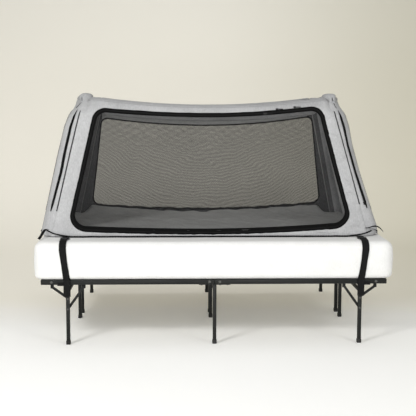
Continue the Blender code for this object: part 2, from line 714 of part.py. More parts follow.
def wall_frame(way, out):
    """Where a wall panel lies: its foot on the leaning plane at a distance out from the post axes."""
    if way in ENDS:
        lean, e = math.atan(LEAN_Y), ENDS[way]
        location = (0, e * (POST_BASE_Y + out), ENCLOSURE_FOOT)
        heading = 0 if e < 0 else math.pi
    else:
        lean, s = math.atan(LEAN_X), SIDES[way]
        location = (s * (POST_BASE_X + out), 0, ENCLOSURE_FOOT)
        heading = -math.pi / 2 if s < 0 else math.pi / 2
    return location, (math.pi / 2 - lean, 0, heading)


def wall_outline(way):
    """The wall's own outline: leaning side edges, and a top edge that follows the beam."""
    long_wall = way in ENDS
    lean = LEAN_Y if long_wall else LEAN_X
    stretch = math.hypot(1, lean)
    side_lean = LEAN_X if long_wall else LEAN_Y
    reach = POST_BASE_X + SEAM_REACH if long_wall else POST_BASE_Y + SIDE_SEAM_REACH
    end_rise = BEAM_END_RISE + WALL_TOP_RISE
    head_half = reach - side_lean * end_rise
    outline = [(-reach, 0), (reach, 0)]
    steps = BEAM_STEPS if long_wall else 1
    for k in range(steps + 1):
        share = 1 - 2 * k / steps
        rise = (beam_rise(share) if long_wall else BEAM_END_RISE) + WALL_TOP_RISE
        outline.append((share * head_half, rise * stretch))
    return outline


def build_wall(way):
    """One outer wall panel of fabric, with the door's or the window's opening in it."""
    outlines = [wall_outline(way)]
    if way == "front":
        outlines.append(opening_outline(DOOR_FOOT_HALF, DOOR_TOP_HALF, DOOR_FOOT, DOOR_TOP, DOOR_SAG,
                                        DOOR_CORNER, ZIP_WIDTH / 2 + GAP, LEAN_Y))
    if way == "back":
        outlines.append(opening_outline(WINDOW_FOOT_HALF, WINDOW_TOP_HALF, WINDOW_FOOT, WINDOW_TOP,
                                        WINDOW_SAG, WINDOW_CORNER, GAP, LEAN_Y))
    location, rotation = wall_frame(way, PANEL_FACE + WALL_PANEL / 2)
    plate(f"wall_{way}", outlines, WALL_PANEL, FABRIC_GREY, location, rotation)


def build_top_sleeve(way):
    """The fabric sleeve of a top beam, ending against the two post sleeves."""
    bm = bmesh.new()
    loft(bm, beam_rings(way, BEAM_RADIUS))
    sleeve = add_part(f"top_sleeve_{way}", mesh_from("top_sleeve", bm), FABRIC_GREY)
    bm = bmesh.new()
    loft(bm, beam_rings(way, BEAM_RADIUS - SLEEVE_WALL, overshoot=SLEEVE_WALL))
    combine(sleeve, add_cutter(f"{sleeve.name}_inside", mesh_from("inside", bm)), "DIFFERENCE")
    head = ENCLOSURE_FOOT + ENCLOSURE_HEIGHT
    ends = [(s, ENDS[way]) for s in (-1, 1)] if way in ENDS else [(SIDES[way], e) for e in (-1, 1)]
    for s, e in ends:
        name = f"{sleeve.name}_round_post_{s + 1}_{e + 1}"
        cutter = post_cutter(name, s, e, POST_RADIUS + GAP, ENCLOSURE_FOOT, head + GAP,
                             EAR_TOP_RADIUS + GAP)
        combine(sleeve, cutter, "DIFFERENCE")


def build_roof():
    """The roof sheet, hung between the top beams and sagging with the two long ones."""
    top = ENCLOSURE_FOOT + BEAM_END_RISE
    inner_x = post_centre(top)[0] + BEAM_OUT - BEAM_RADIUS - GAP
    half_beam = post_centre(top)[0]
    bm = bmesh.new()
    columns = []
    for k in range(BEAM_STEPS + 1):
        x = inner_x * (2 * k / BEAM_STEPS - 1)
        z = ENCLOSURE_FOOT + beam_rise(x / half_beam)
        y = post_centre(z)[1] + BEAM_OUT - BEAM_RADIUS - 2 * GAP
        columns.append([bm.verts.new((x, y * share, z)) for share in (-1, 0, 1)])
    for one, other in zip(columns, columns[1:]):
        for k in range(2):
            bm.faces.new((one[k], other[k], other[k + 1], one[k + 1]))
    roof = add_part("roof_panel", mesh_from("roof", bm), MESH_BLACK)
    solid = roof.modifiers.new("sheet", "SOLIDIFY")
    solid.thickness = ROOF_SHEET
    solid.offset = 0
    for side, s in SIDES.items():
        for end, e in ENDS.items():
            name = f"roof_round_post_{end}_{side}"
            radius = POST_RADIUS + GAP * 2
            head = ENCLOSURE_FOOT + ENCLOSURE_HEIGHT
            cutter = post_cutter(name, s, e, radius, ENCLOSURE_FOOT, head + GAP, EAR_TOP_RADIUS + GAP)
            combine(roof, cutter, "DIFFERENCE")


def door_outline(grown):
    return opening_outline(DOOR_FOOT_HALF, DOOR_TOP_HALF, DOOR_FOOT, DOOR_TOP, DOOR_SAG,
                           DOOR_CORNER, grown, LEAN_Y)


def build_door():
    """The zip round the doorway, and the mesh door that drops outward along its bottom edge."""
    location, rotation = wall_frame("front", PANEL_FACE + ZIP_DEPTH / 2)
    outer = door_outline(ZIP_WIDTH / 2)
    inner = door_outline(-ZIP_WIDTH / 2)
    plate("door_zip", [outer, inner], ZIP_DEPTH, WEBBING_BLACK, location, rotation)
    stretch = math.hypot(1, LEAN_Y)
    hinge_rise = DOOR_FOOT * stretch + ZIP_WIDTH / 2 + DOOR_HINGE_PLAY
    sheet = [(u, max(v, hinge_rise) - hinge_rise) for u, v in door_outline(-ZIP_WIDTH / 2 - GAP)]
    lean = math.atan(LEAN_Y)
    foot = Vector(location) + hinge_rise * Vector((0, math.sin(lean), math.cos(lean)))
    outline = [point for k, point in enumerate(sheet) if point != sheet[k - 1]]
    panel = plate("door_panel", [outline], DOOR_SHEET, MESH_BLACK, (0, 0, -DOOR_HINGE_OUT), (0, 0, 0))
    carry("door_hinge", foot + Euler(rotation).to_matrix() @ Vector((0, 0, DOOR_HINGE_OUT)), [panel], rotation)


def build_window():
    location, rotation = wall_frame("back", PANEL_FACE + WALL_PANEL / 2)
    outline = opening_outline(WINDOW_FOOT_HALF, WINDOW_TOP_HALF, WINDOW_FOOT, WINDOW_TOP,
                              WINDOW_SAG, WINDOW_CORNER, 0, LEAN_Y)
    plate("back_window", [outline], DOOR_SHEET, MESH_BLACK, location, rotation)


# Straps and fittings

def strap_rows():
    """Middle line of a strap in the Y-Z plane, with its place along X, from the piping to its tail."""
    half = MATTRESS_WIDTH / 2
    lift = GAP + STRAP_SHEET / 2
    start = BASE_WIDTH / 2 + PIPING_RADIUS + GAP
    over = mattress_profile(lift)
    line = [(start, MATTRESS_TOP + lift)]
    line += [(half - inset, z) for inset, z in reversed(over[4:])]
    outer = FRAME_WIDTH / 2 + lift
    line += [(half - over[3][0], over[2][1]), (outer, FRAME_HEIGHT - RAIL / 4), (outer, STRAP_TAIL_Z)]
    top, rail = MATTRESS_TOP - MATTRESS_TOP_EDGE, FRAME_HEIGHT
    rows = []
    for y, z in line:
        share = min(1, max(0, (top - z) / (top - rail)))
        rows.append((STRAP_TOP_X + (STRAP_RAIL_X - STRAP_TOP_X) * share, y, z))
    return rows


def loop_rows():
    """Middle line of the turn that the strap takes round the rail, outboard of the pivot's ears."""
    lift = GAP + STRAP_SHEET / 2
    low = RAIL_FOOT - STRAP_UNDER
    outer = FRAME_WIDTH / 2 + lift
    inner = FRAME_WIDTH / 2 - RAIL - lift - GAP
    head = FRAME_HEIGHT - SLAT_HEIGHT - lift - GAP
    line = [(outer, FRAME_HEIGHT - RAIL / 2), (outer, low), (inner, low), (inner, head)]
    return [(STRAP_LOOP_X, y, z) for y, z in line]


def webbing(name, rows, s, e):
    """A strip of webbing along rows of middle points."""
    bm = bmesh.new()
    pairs = []
    for x, y, z in rows:
        pairs.append([bm.verts.new((s * x + w * STRAP_WIDTH / 2, e * y, z)) for w in (-1, 1)])
    for one, other in zip(pairs, pairs[1:]):
        bm.faces.new((one[0], one[1], other[1], other[0]))
    return mesh_from(name, bm)


def thicken(obj):
    solid = obj.modifiers.new("sheet", "SOLIDIFY")
    solid.thickness = STRAP_SHEET
    solid.offset = 0
    solid.use_even_offset = True


def build_strap(side, end):
    """A webbing strap from the base piping down the mattress, round the rail and down to its tail."""
    s, e = SIDES[side], ENDS[end]
    name = f"strap_{end}_{side}"
    strap = add_part(name, webbing("strap", strap_rows(), s, e), WEBBING_BLACK)
    thicken(strap)
    loop = add_cutter(f"{name}_loop", webbing("loop", loop_rows(), s, e))
    thicken(loop)
    combine(strap, loop, "UNION")


def build_buckle(side, end):
    """The ladder buckle that bridges the strap on top of the mattress."""
    s, e = SIDES[side], ENDS[end]
    near = BASE_WIDTH / 2 + BUCKLE_FROM_PIPING
    far = near + BUCKLE_LENGTH
    half = STRAP_WIDTH / 2 + GAP
    foot = MATTRESS_TOP + GAP
    under = foot + STRAP_SHEET + GAP * 2
    bm = bmesh.new()
    for way in (-1, 1):
        x = s * STRAP_TOP_X + way * half
        box(bm, (x, e * near, foot), (x + way * BUCKLE_RIM, e * far, under + BUCKLE_PLATE))
    buckle = add_part(f"buckle_{end}_{side}", mesh_from("buckle", bm), PLASTIC_BLACK)
    bm = bmesh.new()
    for y in (near, far - BUCKLE_RIM):
        box(bm, (s * STRAP_TOP_X - half - BUCKLE_RIM / 2, e * y, under),
            (s * STRAP_TOP_X + half + BUCKLE_RIM / 2, e * (y + BUCKLE_RIM), under + BUCKLE_PLATE))
    combine(buckle, add_cutter(f"{buckle.name}_bars", mesh_from("bars", bm)), "UNION")


def slider_outline():
    """A zip slider seen from the front, with its pull tab, pointing along +u."""
    half, waist = SLIDER_WIDTH / 2, SLIDER_WIDTH / 4
    return [(-SLIDER_LENGTH / 2, -half), (SLIDER_LENGTH / 2, -half), (SLIDER_LENGTH / 2, -waist),
            (SLIDER_LENGTH / 2 + SLIDER_TAB, -waist), (SLIDER_LENGTH / 2 + SLIDER_TAB, waist),
            (SLIDER_LENGTH / 2, waist), (SLIDER_LENGTH / 2, half), (-SLIDER_LENGTH / 2, half)]


def build_door_slider():
    """The slider on the zip's upper run."""
    location, rotation = wall_frame("front", PANEL_FACE + ZIP_DEPTH + GAP + SLIDER_DEPTH / 2)
    lean = math.atan(LEAN_Y)
    stretch = math.hypot(1, LEAN_Y)
    rise = DOOR_TOP * stretch - DOOR_SAG * (1 - (DOOR_SLIDER_X / DOOR_TOP_HALF) ** 2)
    place = (DOOR_SLIDER_X, location[1] + rise * math.sin(lean), location[2] + rise * math.cos(lean))
    plate("door_slider", [slider_outline()], SLIDER_DEPTH, PLASTIC_BLACK, place, rotation)


def build_side_slider(side, end):
    """The slider of the zip that runs up a post's sleeve, round from the middle of its outer face."""
    s, e = SIDES[side], ENDS[end]
    z = ENCLOSURE_FOOT + SIDE_ZIP_FOOT
    x, y = post_centre(z)
    turn = math.radians(SIDE_ZIP_TURN)
    level = Vector((s * math.sin(turn), e * math.cos(turn), 0))
    along = Vector((-s * LEAN_X, -e * LEAN_Y, 1)).normalized()
    normal = Vector((0, 0, 1)).cross(level).cross(along).normalized()
    across = normal.cross(along)
    flat = level * POST_RADIUS * math.cos(math.pi / ROUND_STEPS)
    place = Vector((s * x, e * y, z)) + flat + normal * (GAP + SLIDER_DEPTH / 2)
    frame = Matrix((along, across, normal)).transposed()
    plate(f"side_slider_{end}_{side}", [slider_outline()], SLIDER_DEPTH, PLASTIC_BLACK, place,
          frame.to_euler())


def valve_axis():
    """The valve's place on the back right post's axis and its outward direction."""
    z = ENCLOSURE_FOOT + VALVE_HEIGHT
    x, y = post_centre(z)
    return Vector((x, y, z)), Vector((1, 1, 0)).normalized()


def build_valve(air):
    """The valve through sleeve and bladder, and the cap that flips up off it."""
    centre, out = valve_axis()
    face = centre + out * (POST_RADIUS + VALVE_PROUD)
    bm = bmesh.new()
    reach = out * VALVE_HOLE_DEPTH / 2
    middle = centre + out * POST_RADIUS
    pin(bm, middle - reach, middle + reach, VALVE_RADIUS + GAP)
    hole = add_cutter("valve_hole", mesh_from("valve_hole", bm))
    combine(air, hole, "DIFFERENCE")
    combine(bpy.data.objects["post_sleeve_back_right"], hole, "DIFFERENCE")
    bm = bmesh.new()
    pin(bm, centre + out * (POST_RADIUS - VALVE_DEEP), face, VALVE_RADIUS)
    valve = add_part("valve_body", mesh_from("valve", bm), PLASTIC_BLACK)
    bm = bmesh.new()
    pin(bm, centre, face + out * VALVE_PROUD, VALVE_BORE)
    combine(valve, add_cutter("valve_bore", mesh_from("valve_bore", bm)), "DIFFERENCE")
    bm = bmesh.new()
    cap_foot = face + out * GAP
    pin(bm, cap_foot, cap_foot + out * VALVE_CAP, VALVE_RADIUS)
    hinge = cap_foot + Vector((0, 0, VALVE_RADIUS)) + out * VALVE_CAP / 2
    add_part("valve_cap", mesh_from("valve_cap", bm), PLASTIC_BLACK, hinge)


def build_frame():
    for side in SIDES:
        build_half_clip(side)
        for end in ENDS:
            build_deck(side, end)
            build_pivot_rod(side, end)
            build_braces(side, end)
    for end in ENDS:
        for side in (*SIDES, "middle"):
            build_leg_frame(side, end)


def build_enclosure():
    build_base_panel()
    build_floor_pad()
    for side in SIDES:
        for end in ENDS:
            build_post_sleeve(side, end)
            build_side_slider(side, end)
    for way in (*ENDS, *SIDES):
        build_wall(way)
        build_top_sleeve(way)
    build_roof()
    build_door()
    build_window()
    build_door_slider()
    build_valve(build_air_frame())


def build():
    clear_scene()
    build_frame()
    build_mattress()
    for side in SIDES:
        for end in ENDS:
            build_strap(side, end)
            build_buckle(side, end)
    below = set(bpy.data.objects)
    build_enclosure()
    loose = [obj for obj in bpy.data.objects if obj not in below and obj.parent is None]
    carry("enclosure", (ENCLOSURE_X, 0, 0), loose)


build()
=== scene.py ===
# %% [markdown]
# # An inflatable travel bed
# The object has three layers: a folding steel platform, a mattress in a white fitted cover, and an
# enclosure of grey cloth held up by four leaning posts of air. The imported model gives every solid
# its place and its joints, and this lesson dresses them: each step says what a piece is on the real
# object, how it could be made, and why it is made in this way.

# %% Load the fixed frame
import math
from collections import namedtuple

import bmesh
import bpy
from mathutils import Matrix, Vector, noise


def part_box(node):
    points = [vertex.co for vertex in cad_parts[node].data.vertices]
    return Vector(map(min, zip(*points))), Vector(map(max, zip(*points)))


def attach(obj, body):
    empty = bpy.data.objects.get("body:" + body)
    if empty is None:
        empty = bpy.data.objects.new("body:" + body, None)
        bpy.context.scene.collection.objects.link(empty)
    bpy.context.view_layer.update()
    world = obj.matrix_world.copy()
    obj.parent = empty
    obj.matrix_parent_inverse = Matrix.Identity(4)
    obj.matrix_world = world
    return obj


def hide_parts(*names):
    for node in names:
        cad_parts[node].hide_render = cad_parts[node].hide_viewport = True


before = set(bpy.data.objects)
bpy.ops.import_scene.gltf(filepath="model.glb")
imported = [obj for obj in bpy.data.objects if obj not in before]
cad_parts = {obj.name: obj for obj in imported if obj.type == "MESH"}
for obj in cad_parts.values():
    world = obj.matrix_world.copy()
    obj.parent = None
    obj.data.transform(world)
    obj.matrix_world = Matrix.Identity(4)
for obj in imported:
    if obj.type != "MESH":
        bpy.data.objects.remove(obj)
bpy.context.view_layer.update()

scene = bpy.context.scene

# %% [markdown]
# ## Camera
# The photograph looks at the long side from a little above the mattress with a long lens, so the
# vertical posts stay nearly parallel. The lens and place below came from fitting the frame's rails,
# the mattress and the legs to the picture. A wide lens close by would fan the legs out.

# %% The photograph's camera
camera_data = bpy.data.cameras.new("photo_camera")
camera_data.lens = 78.4
camera_data.sensor_width = 36.0
camera = bpy.data.objects.new("photo_camera", camera_data)
camera.location = (-0.1988, -5.4723, 1.3115)
look = Matrix.Rotation(math.radians(-1.93), 4, "Z") @ Matrix.Rotation(math.radians(83.24), 4, "X")
camera.matrix_world = (Matrix.Translation(camera.location) @ look
                       @ Matrix.Rotation(math.radians(0.14), 4, "Z"))
scene.collection.objects.link(camera)
scene.camera = camera
print("camera at", tuple(round(v, 3) for v in camera.location))

# %% [markdown]
# ## Node helpers
# Every finish below is a small tree of nodes. A recipe adds the nodes, and a wire stands for the
# output of one, so a formula of wires can be written as plain sums and products. Copying the trees
# by hand in the editor would give the same result, but it could not be read as a recipe.

# %% Helpers for node trees
class Wire:
    """An output of a node. Each sign in a formula of wires adds one Math node."""

    def __init__(self, recipe, socket):
        self.recipe, self.socket = recipe, socket

    def maths(self, operation, first, second=0.0):
        return self.recipe.add("Math", {0: first, 1: second}, operation=operation)

    def __add__(self, other):
        return self.maths("ADD", self, other)

    def __sub__(self, other):
        return self.maths("SUBTRACT", self, other)

    def __rsub__(self, other):
        return self.maths("SUBTRACT", other, self)

    def __mul__(self, other):
        return self.maths("MULTIPLY", self, other)

    def __rtruediv__(self, other):
        return self.maths("DIVIDE", other, self)

    def sine(self):
        return self.maths("SINE", self)


class Recipe:
    """A node tree that is written step by step; each step gives the wire that it makes."""

    def __init__(self, tree):
        self.tree = tree

    def give(self, socket, value):
        """Links a wire to a socket, or sets the socket to a plain value."""
        if isinstance(value, Wire):
            self.tree.links.new(value.socket, socket)
        else:
            socket.default_value = value

    def add(self, kind, inputs=None, output=0, **options):
        node = self.tree.nodes.new("ShaderNode" + kind)
        for key, value in options.items():
            setattr(node, key, value)
        for key, value in (inputs or {}).items():
            self.give(node.inputs[key], value)
        return Wire(self, node.outputs[output])

    def xyz(self, vector):
        sockets = self.add("SeparateXYZ", {0: vector}).socket.node.outputs
        return [Wire(self, socket) for socket in sockets]

    def noise(self, vector, scale, detail, **more):
        return self.add("TexNoise", {"Vector": vector, "Scale": scale, "Detail": detail, **more})

    def remap(self, value, low, high, to=(0.0, 1.0), soft=False):
        limits = {"From Min": low, "From Max": high, "To Min": to[0], "To Max": to[1]}
        return self.add("MapRange", {"Value": value, **limits},
                        interpolation_type="SMOOTHSTEP" if soft else "LINEAR")

    def mix(self, factor, dark, light):
        return self.add("Mix", {0: factor, 6: dark, 7: light}, output=2, data_type="RGBA")


class Group(Recipe):
    """An effect that several finishes share, with named sockets."""

    def __init__(self, name, outputs, **inputs):
        super().__init__(bpy.data.node_groups.new(name, "ShaderNodeTree"))
        for label, value in inputs.items():
            kind = {3: "Vector", 4: "Color"}[len(value)] if isinstance(value, tuple) else "Float"
            self.tree.interface.new_socket(label.replace("_", " "), in_out="INPUT",
                                           socket_type="NodeSocket" + kind).default_value = value
        for label in outputs:
            kind = "Color" if label == "Color" else "Float"
            self.tree.interface.new_socket(label, in_out="OUTPUT", socket_type="NodeSocket" + kind)
        entry = self.tree.nodes.new("NodeGroupInput")
        self.given = [Wire(self, entry.outputs[k]) for k in range(len(inputs))]
        self.made = self.tree.nodes.new("NodeGroupOutput")

    def done(self, *wires):
        for socket, wire in zip(self.made.inputs, wires):
            self.give(socket, wire)
        print(f"{self.tree.name} group: {len(self.tree.nodes)} nodes")
        return self.tree


# %% [markdown]
# ## Shared effects
# Woven cloth shows three scales at once: threads under a millimetre, the heather of lighter and
# darker yarns at a few millimetres, and soft creases of a few centimetres. One group makes all
# three from the object's coordinates, so the yarn is the same whatever a piece's outline is. The
# group also paints shade: above 1.20 m it mixes the colour towards black, as far as its top-shade
# input asks, so a top band reads darker.

# %% The woven cloth group
FULL_TURN = 6.2832

g = Group("woven_cloth", ("Color", "Height", "Roughness"), Vector=(0, 0, 0),
          Dark=(0.4, 0.4, 0.4, 1), Light=(0.5, 0.5, 0.5, 1), Thread=0.0012, Crease=1.0,
          Top_Shade=0.0)
vector, dark, light, thread, crease, painted_top_shade = g.given
x, y, z = g.xyz(vector)
turns = FULL_TURN / thread
weave = ((x + y) * turns).sine() * (z * turns).sine()
drawn_out = g.add("Mapping", {"Vector": vector, "Scale": (1.0, 1.0, 0.35)})
yarn = g.noise(drawn_out, 190.0, 4.0, Roughness=0.7)
patch = g.noise(vector, 9.0, 3.0)
creases = g.noise(vector, 14.0, 2.0, Distortion=0.7)
fleck = g.remap(yarn * 0.9 + patch * 0.6, 0.55, 0.98)
# painted shade: from 1.20 m to 1.29 m up, the colour is mixed towards black by the top-shade input
high = g.remap(z, 1.20, 1.29)
toned = g.mix(fleck, dark, light)
WOVEN = g.done(g.mix(high * painted_top_shade, toned, (0.02, 0.02, 0.02, 1)),
               weave * 0.06 + yarn * 0.25 + creases * crease,
               g.remap(fleck, 0.0, 1.0, to=(0.95, 0.82)))

# %% [markdown]
# The insect net is a lattice of fine black threads with square holes. Real holes would need
# millions of faces, so the lattice is a mask that drives Alpha. The holes are smaller than a
# picture element from the camera's place, so the mask keeps a soft floor and slow waves, which is
# how slack net looks: denser where it bunches and clearer where it is pulled flat.

# %% The net mask group
g = Group("net_mask", ("Mask", "Height"), Vector=(0, 0, 0), Pitch=0.0022, Cover=0.44, Waves=0.1)
vector, pitch, cover, wave_height = g.given
x, y, z = g.xyz(vector)
turns = 3.1416 / pitch
threads = []
for way in (x, y + z):
    threads.append(way.maths("ABSOLUTE", way.maths("COSINE", way * turns)))
lattice = g.remap(x.maths("MAXIMUM", *threads), 0.86, 0.99)
slack = g.noise(vector, 3.2, 2.0, Distortion=0.8)
rows = z * 46.0 + x * x * -24.0 + slack * 7.0
cells = (x * 74.0 + slack * 16.0).sine() * (z * 150.0 + slack * 22.0).sine()
high = g.remap(z, 0.93, 1.10, soft=True)
waves = (rows * FULL_TURN).sine() * (1.0 - high * 0.6) + cells * high + (slack - 0.5) * 1.6
# the net is made darker towards its foot: its cover grows by up to 0.06 from 0.84 m down to 0.62 m
darker_foot = g.remap(z, 0.62, 0.84, to=(0.06, 0.0))
cover = cover + waves * wave_height + darker_foot
mask = g.add("Clamp", {"Value": lattice * 0.12 + (cover - 0.05)})
NET = g.done(mask, lattice)

# %% [markdown]
# Webbing and zip tape are narrow weaves with ribs that follow the strip, so their pattern reads the
# strip's own UV map, in metres: U runs along the strip and V across it. A pattern on the object's
# coordinates would run off the strip wherever it turns a corner.

# %% The ribbed tape group
g = Group("ribbed_tape", ("Rib Height", "Mask"), Vector=(0, 0, 0), Rib=0.0022, Across=0.0032)
vector, rib, across = g.given
x, y, z = g.xyz(vector)
ribs = (x * (FULL_TURN / rib)).sine() + (y * (FULL_TURN / across)).sine() * 0.7
fuzz = g.noise(vector, 300.0, 3.0)
RIBBED = g.done(ribs + fuzz, fuzz)

# %% [markdown]
# Painted steel carries a fine orange-peel skin and a little grey dust, and the coat rubs thin in
# places. The group gives a height for the skin and a mask for the rubbed and dusty places.

# %% The coated metal group
g = Group("coated_metal", ("Height", "Wear", "Dust"), Vector=(0, 0, 0), Peel=900.0)
vector, peel = g.given
COATED = g.done(g.noise(vector, peel, 2.0),
                g.remap(g.noise(vector, 35.0, 6.0, Roughness=0.75), 0.62, 0.75),
                g.remap(g.noise(vector, 5.0, 4.0), 0.45, 0.75))

# %% [markdown]
# ## Finishes
# Each finish puts the shared groups to work with its own values. Cloth gets a little sheen and a
# bump of under a millimetre; the net stays a plain dark thread whose Alpha is the mask; steel is a
# dielectric coat, so its metallic value stays low.

# %% Cloth finishes
class Finish(Recipe):
    """A material whose Principled shader takes plain values and wires."""

    def __init__(self, name, **values):
        self.material = bpy.data.materials.new(name)
        self.material.use_nodes = True
        super().__init__(self.material.node_tree)
        self.shader = self.tree.nodes["Principled BSDF"]
        self.take(**values)

    def take(self, **values):
        for key, value in values.items():
            self.give(self.shader.inputs[key.replace("_", " ")], value)

    def group(self, tree, place="Object", **values):
        """Adds a shared effect that reads the Object or UV place; gives its outputs by name."""
        inputs = {key.replace("_", " "): value for key, value in values.items()}
        inputs["Vector"] = self.add("TexCoord", output=place)
        sockets = self.add("Group", None, node_tree=tree).socket.node
        for key, value in inputs.items():
            self.give(sockets.inputs[key], value)
        return {socket.name: Wire(self, socket) for socket in sockets.outputs}

    def bump(self, height, strength, distance):
        inputs = {"Height": height, "Strength": strength, "Distance": distance}
        self.take(Normal=self.add("Bump", inputs))
        return self.material


def cloth_finish(name, dark, light, thread=0.0012, crease=0.6, depth=0.0012, painted_top_shade=0.0):
    finish = Finish(name, Sheen_Weight=0.12, Sheen_Roughness=0.5)
    woven = finish.group(WOVEN, Dark=(*dark, 1), Light=(*light, 1), Thread=thread, Crease=crease,
                         Top_Shade=painted_top_shade)
    finish.take(Base_Color=woven["Color"], Roughness=woven["Roughness"])
    return finish.bump(woven["Height"], 0.35, depth)


# this cloth's top band and ears are darkened by 0.17 towards black: painted shade
HEATHER = cloth_finish("grey_heather_cloth", (0.388, 0.390, 0.394), (0.547, 0.550, 0.554),
                       painted_top_shade=0.17)
LINING = cloth_finish("dark_lining", (0.106, 0.107, 0.110), (0.181, 0.182, 0.188), crease=1.0)
BEAM_LINING = cloth_finish("grey_lining", (0.312, 0.312, 0.315), (0.450, 0.450, 0.453), crease=1.0)
# painted light: a paler copy of the lining, used inside the walls up by the beams to lift their
# shade
PAINTED_LIGHT_LINING = cloth_finish("painted_light_grey_lining", (0.650, 0.650, 0.644), (0.875, 0.875, 0.862),
                           crease=1.0)
PAD_CLOTH = cloth_finish("padded_floor_cloth", (0.580, 0.582, 0.566), (0.820, 0.822, 0.806),
                         crease=1.6, depth=0.003)
COTTON = cloth_finish("white_cotton_knit", (0.85, 0.85, 0.83), (0.93, 0.93, 0.915), thread=0.0018,
                      crease=1.2, depth=0.002)
FOAM = cloth_finish("open_foam", (0.775, 0.725, 0.587), (0.925, 0.875, 0.725), thread=0.004,
                    crease=0.3, depth=0.0008)
print("cloth finishes made")

# %% Net, tape and webbing finishes
def net_finish(name, shade, cover, waves):
    finish = Finish(name, Base_Color=(*shade, 1), Roughness=0.85)
    mask = finish.group(NET, Cover=cover, Waves=waves)
    finish.take(Alpha=mask["Mask"])
    return finish.bump(mask["Height"], 0.3, 0.0005)


def tape_finish(name, shade, rib, across, rough=0.75):
    finish = Finish(name, Specular_IOR_Level=0.08)
    ribbed = finish.group(RIBBED, "UV", Rib=rib, Across=across)
    dark, pale = (*shade, 1), (*(min(1.0, c * 1.6 + 0.001) for c in shade), 1)
    finish.take(Base_Color=finish.mix(ribbed["Mask"], dark, pale),
                Roughness=finish.remap(ribbed["Mask"], 0.0, 1.0, to=(rough - 0.1, rough + 0.1)))
    return finish.bump(ribbed["Rib Height"], 0.5, 0.0005)


DOOR_NET = net_finish("door_net", (0.012, 0.012, 0.012), 0.44, 0.010)
WINDOW_NET = net_finish("window_net", (0.044, 0.042, 0.039), 0.635, 0.050)
ROOF_NET = net_finish("roof_net", (0.012, 0.012, 0.012), 0.5, 0.02)
WEBBING = tape_finish("black_webbing", (0.009, 0.009, 0.009), 0.0024, 0.0032)
ZIP_TAPE = tape_finish("zip_tape", (0.0035, 0.0035, 0.0035), 0.0012, 0.0015)
ZIP_COIL = tape_finish("zip_coil", (0.006, 0.006, 0.006), 0.0026, 0.0060, rough=0.5)
BINDING = tape_finish("black_binding", (0.004, 0.004, 0.004), 0.0016, 0.0024)
SEAM_THREAD = tape_finish("dark_seam_thread", (0.044, 0.044, 0.045), 0.0050, 0.0016, rough=0.85)
TOP_THREAD = tape_finish("grey_top_thread", (0.25, 0.25, 0.252), 0.0050, 0.0016, rough=0.85)
print("net and tape finishes made")

# %% Steel, rubber and plastic finishes
def coated_finish(name, shade, worn, rough, metallic=0.0, peel=900.0, bump=0.15, dust=0.12):
    finish = Finish(name, Metallic=metallic, Specular_IOR_Level=0.3)
    coat = finish.group(COATED, Peel=peel)
    rubbed = finish.mix(coat["Wear"], (*shade, 1), (*worn, 1))
    dusty = finish.mix(coat["Dust"] * dust, rubbed, (0.30, 0.29, 0.27, 1))
    finish.take(Base_Color=dusty,
                Roughness=finish.remap(coat["Dust"], 0.0, 1.0, to=(rough - 0.06, rough + 0.14)))
    return finish.bump(coat["Height"], bump, 0.0004)


POWDER = coated_finish("black_powder_coat", (0.0045, 0.0055, 0.0045), (0.012, 0.013, 0.012), 0.50,
                       dust=0.03)
ZINC = coated_finish("dull_zinc", (0.10, 0.10, 0.095), (0.16, 0.16, 0.155), 0.45, metallic=1.0,
                     peel=300.0)
RUBBER = coated_finish("black_rubber", (0.010, 0.010, 0.010), (0.020, 0.020, 0.019), 0.7,
                       peel=500.0)
MOULDED = coated_finish("moulded_black_plastic", (0.011, 0.011, 0.012), (0.020, 0.020, 0.021), 0.38,
                        peel=700.0)
FILM = coated_finish("coated_air_film", (0.50, 0.53, 0.55), (0.60, 0.62, 0.63), 0.35, peel=60.0,
                     bump=0.3)
print("hard finishes made")

# %% [markdown]
# ## Piece helpers
# A finished piece is a mesh in the bed's own place, tied to the body it moves with. Cloth starts as
# a flat grid whose points are laid one by one on a curved form, as cloth is laid on a former; edges
# that meet are sewn by merging their doubles. Hard tubes start as a cube, stretched and bevelled.

# %% Helpers for pieces
UP = Vector((0, 0, 1))


def make_object(name, bm, finishes, crisp=None):
    """Turns a bmesh into an object; edges sharper than crisp degrees stay sharp."""
    mesh = bpy.data.meshes.new(name)
    bm.to_mesh(mesh)
    bm.free()
    for finish in finishes:
        mesh.materials.append(finish)
    mesh.polygons.foreach_set("use_smooth", [True] * len(mesh.polygons))
    if crisp:
        mesh.set_sharp_from_angle(angle=math.radians(crisp))
    made = bpy.data.objects.new(name, mesh)
    scene.collection.objects.link(made)
    print(f"{name}: {len(mesh.polygons)} faces")
    return made


def make_piece(name, bm, finishes, node=None, body="bed", slot=None, crisp=None):
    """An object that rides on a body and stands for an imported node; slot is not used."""
    piece = make_object(name, bm, finishes, crisp)
    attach(piece, body)
    if node:
        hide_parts(node)
    return piece


def thicken(piece, name, thickness, offset, **more):
    """Gives thin cloth or webbing its real thickness."""
    shell = piece.modifiers.new(name, "SOLIDIFY")
    shell.thickness, shell.offset = thickness, offset
    for key, value in more.items():
        setattr(shell, key, value)


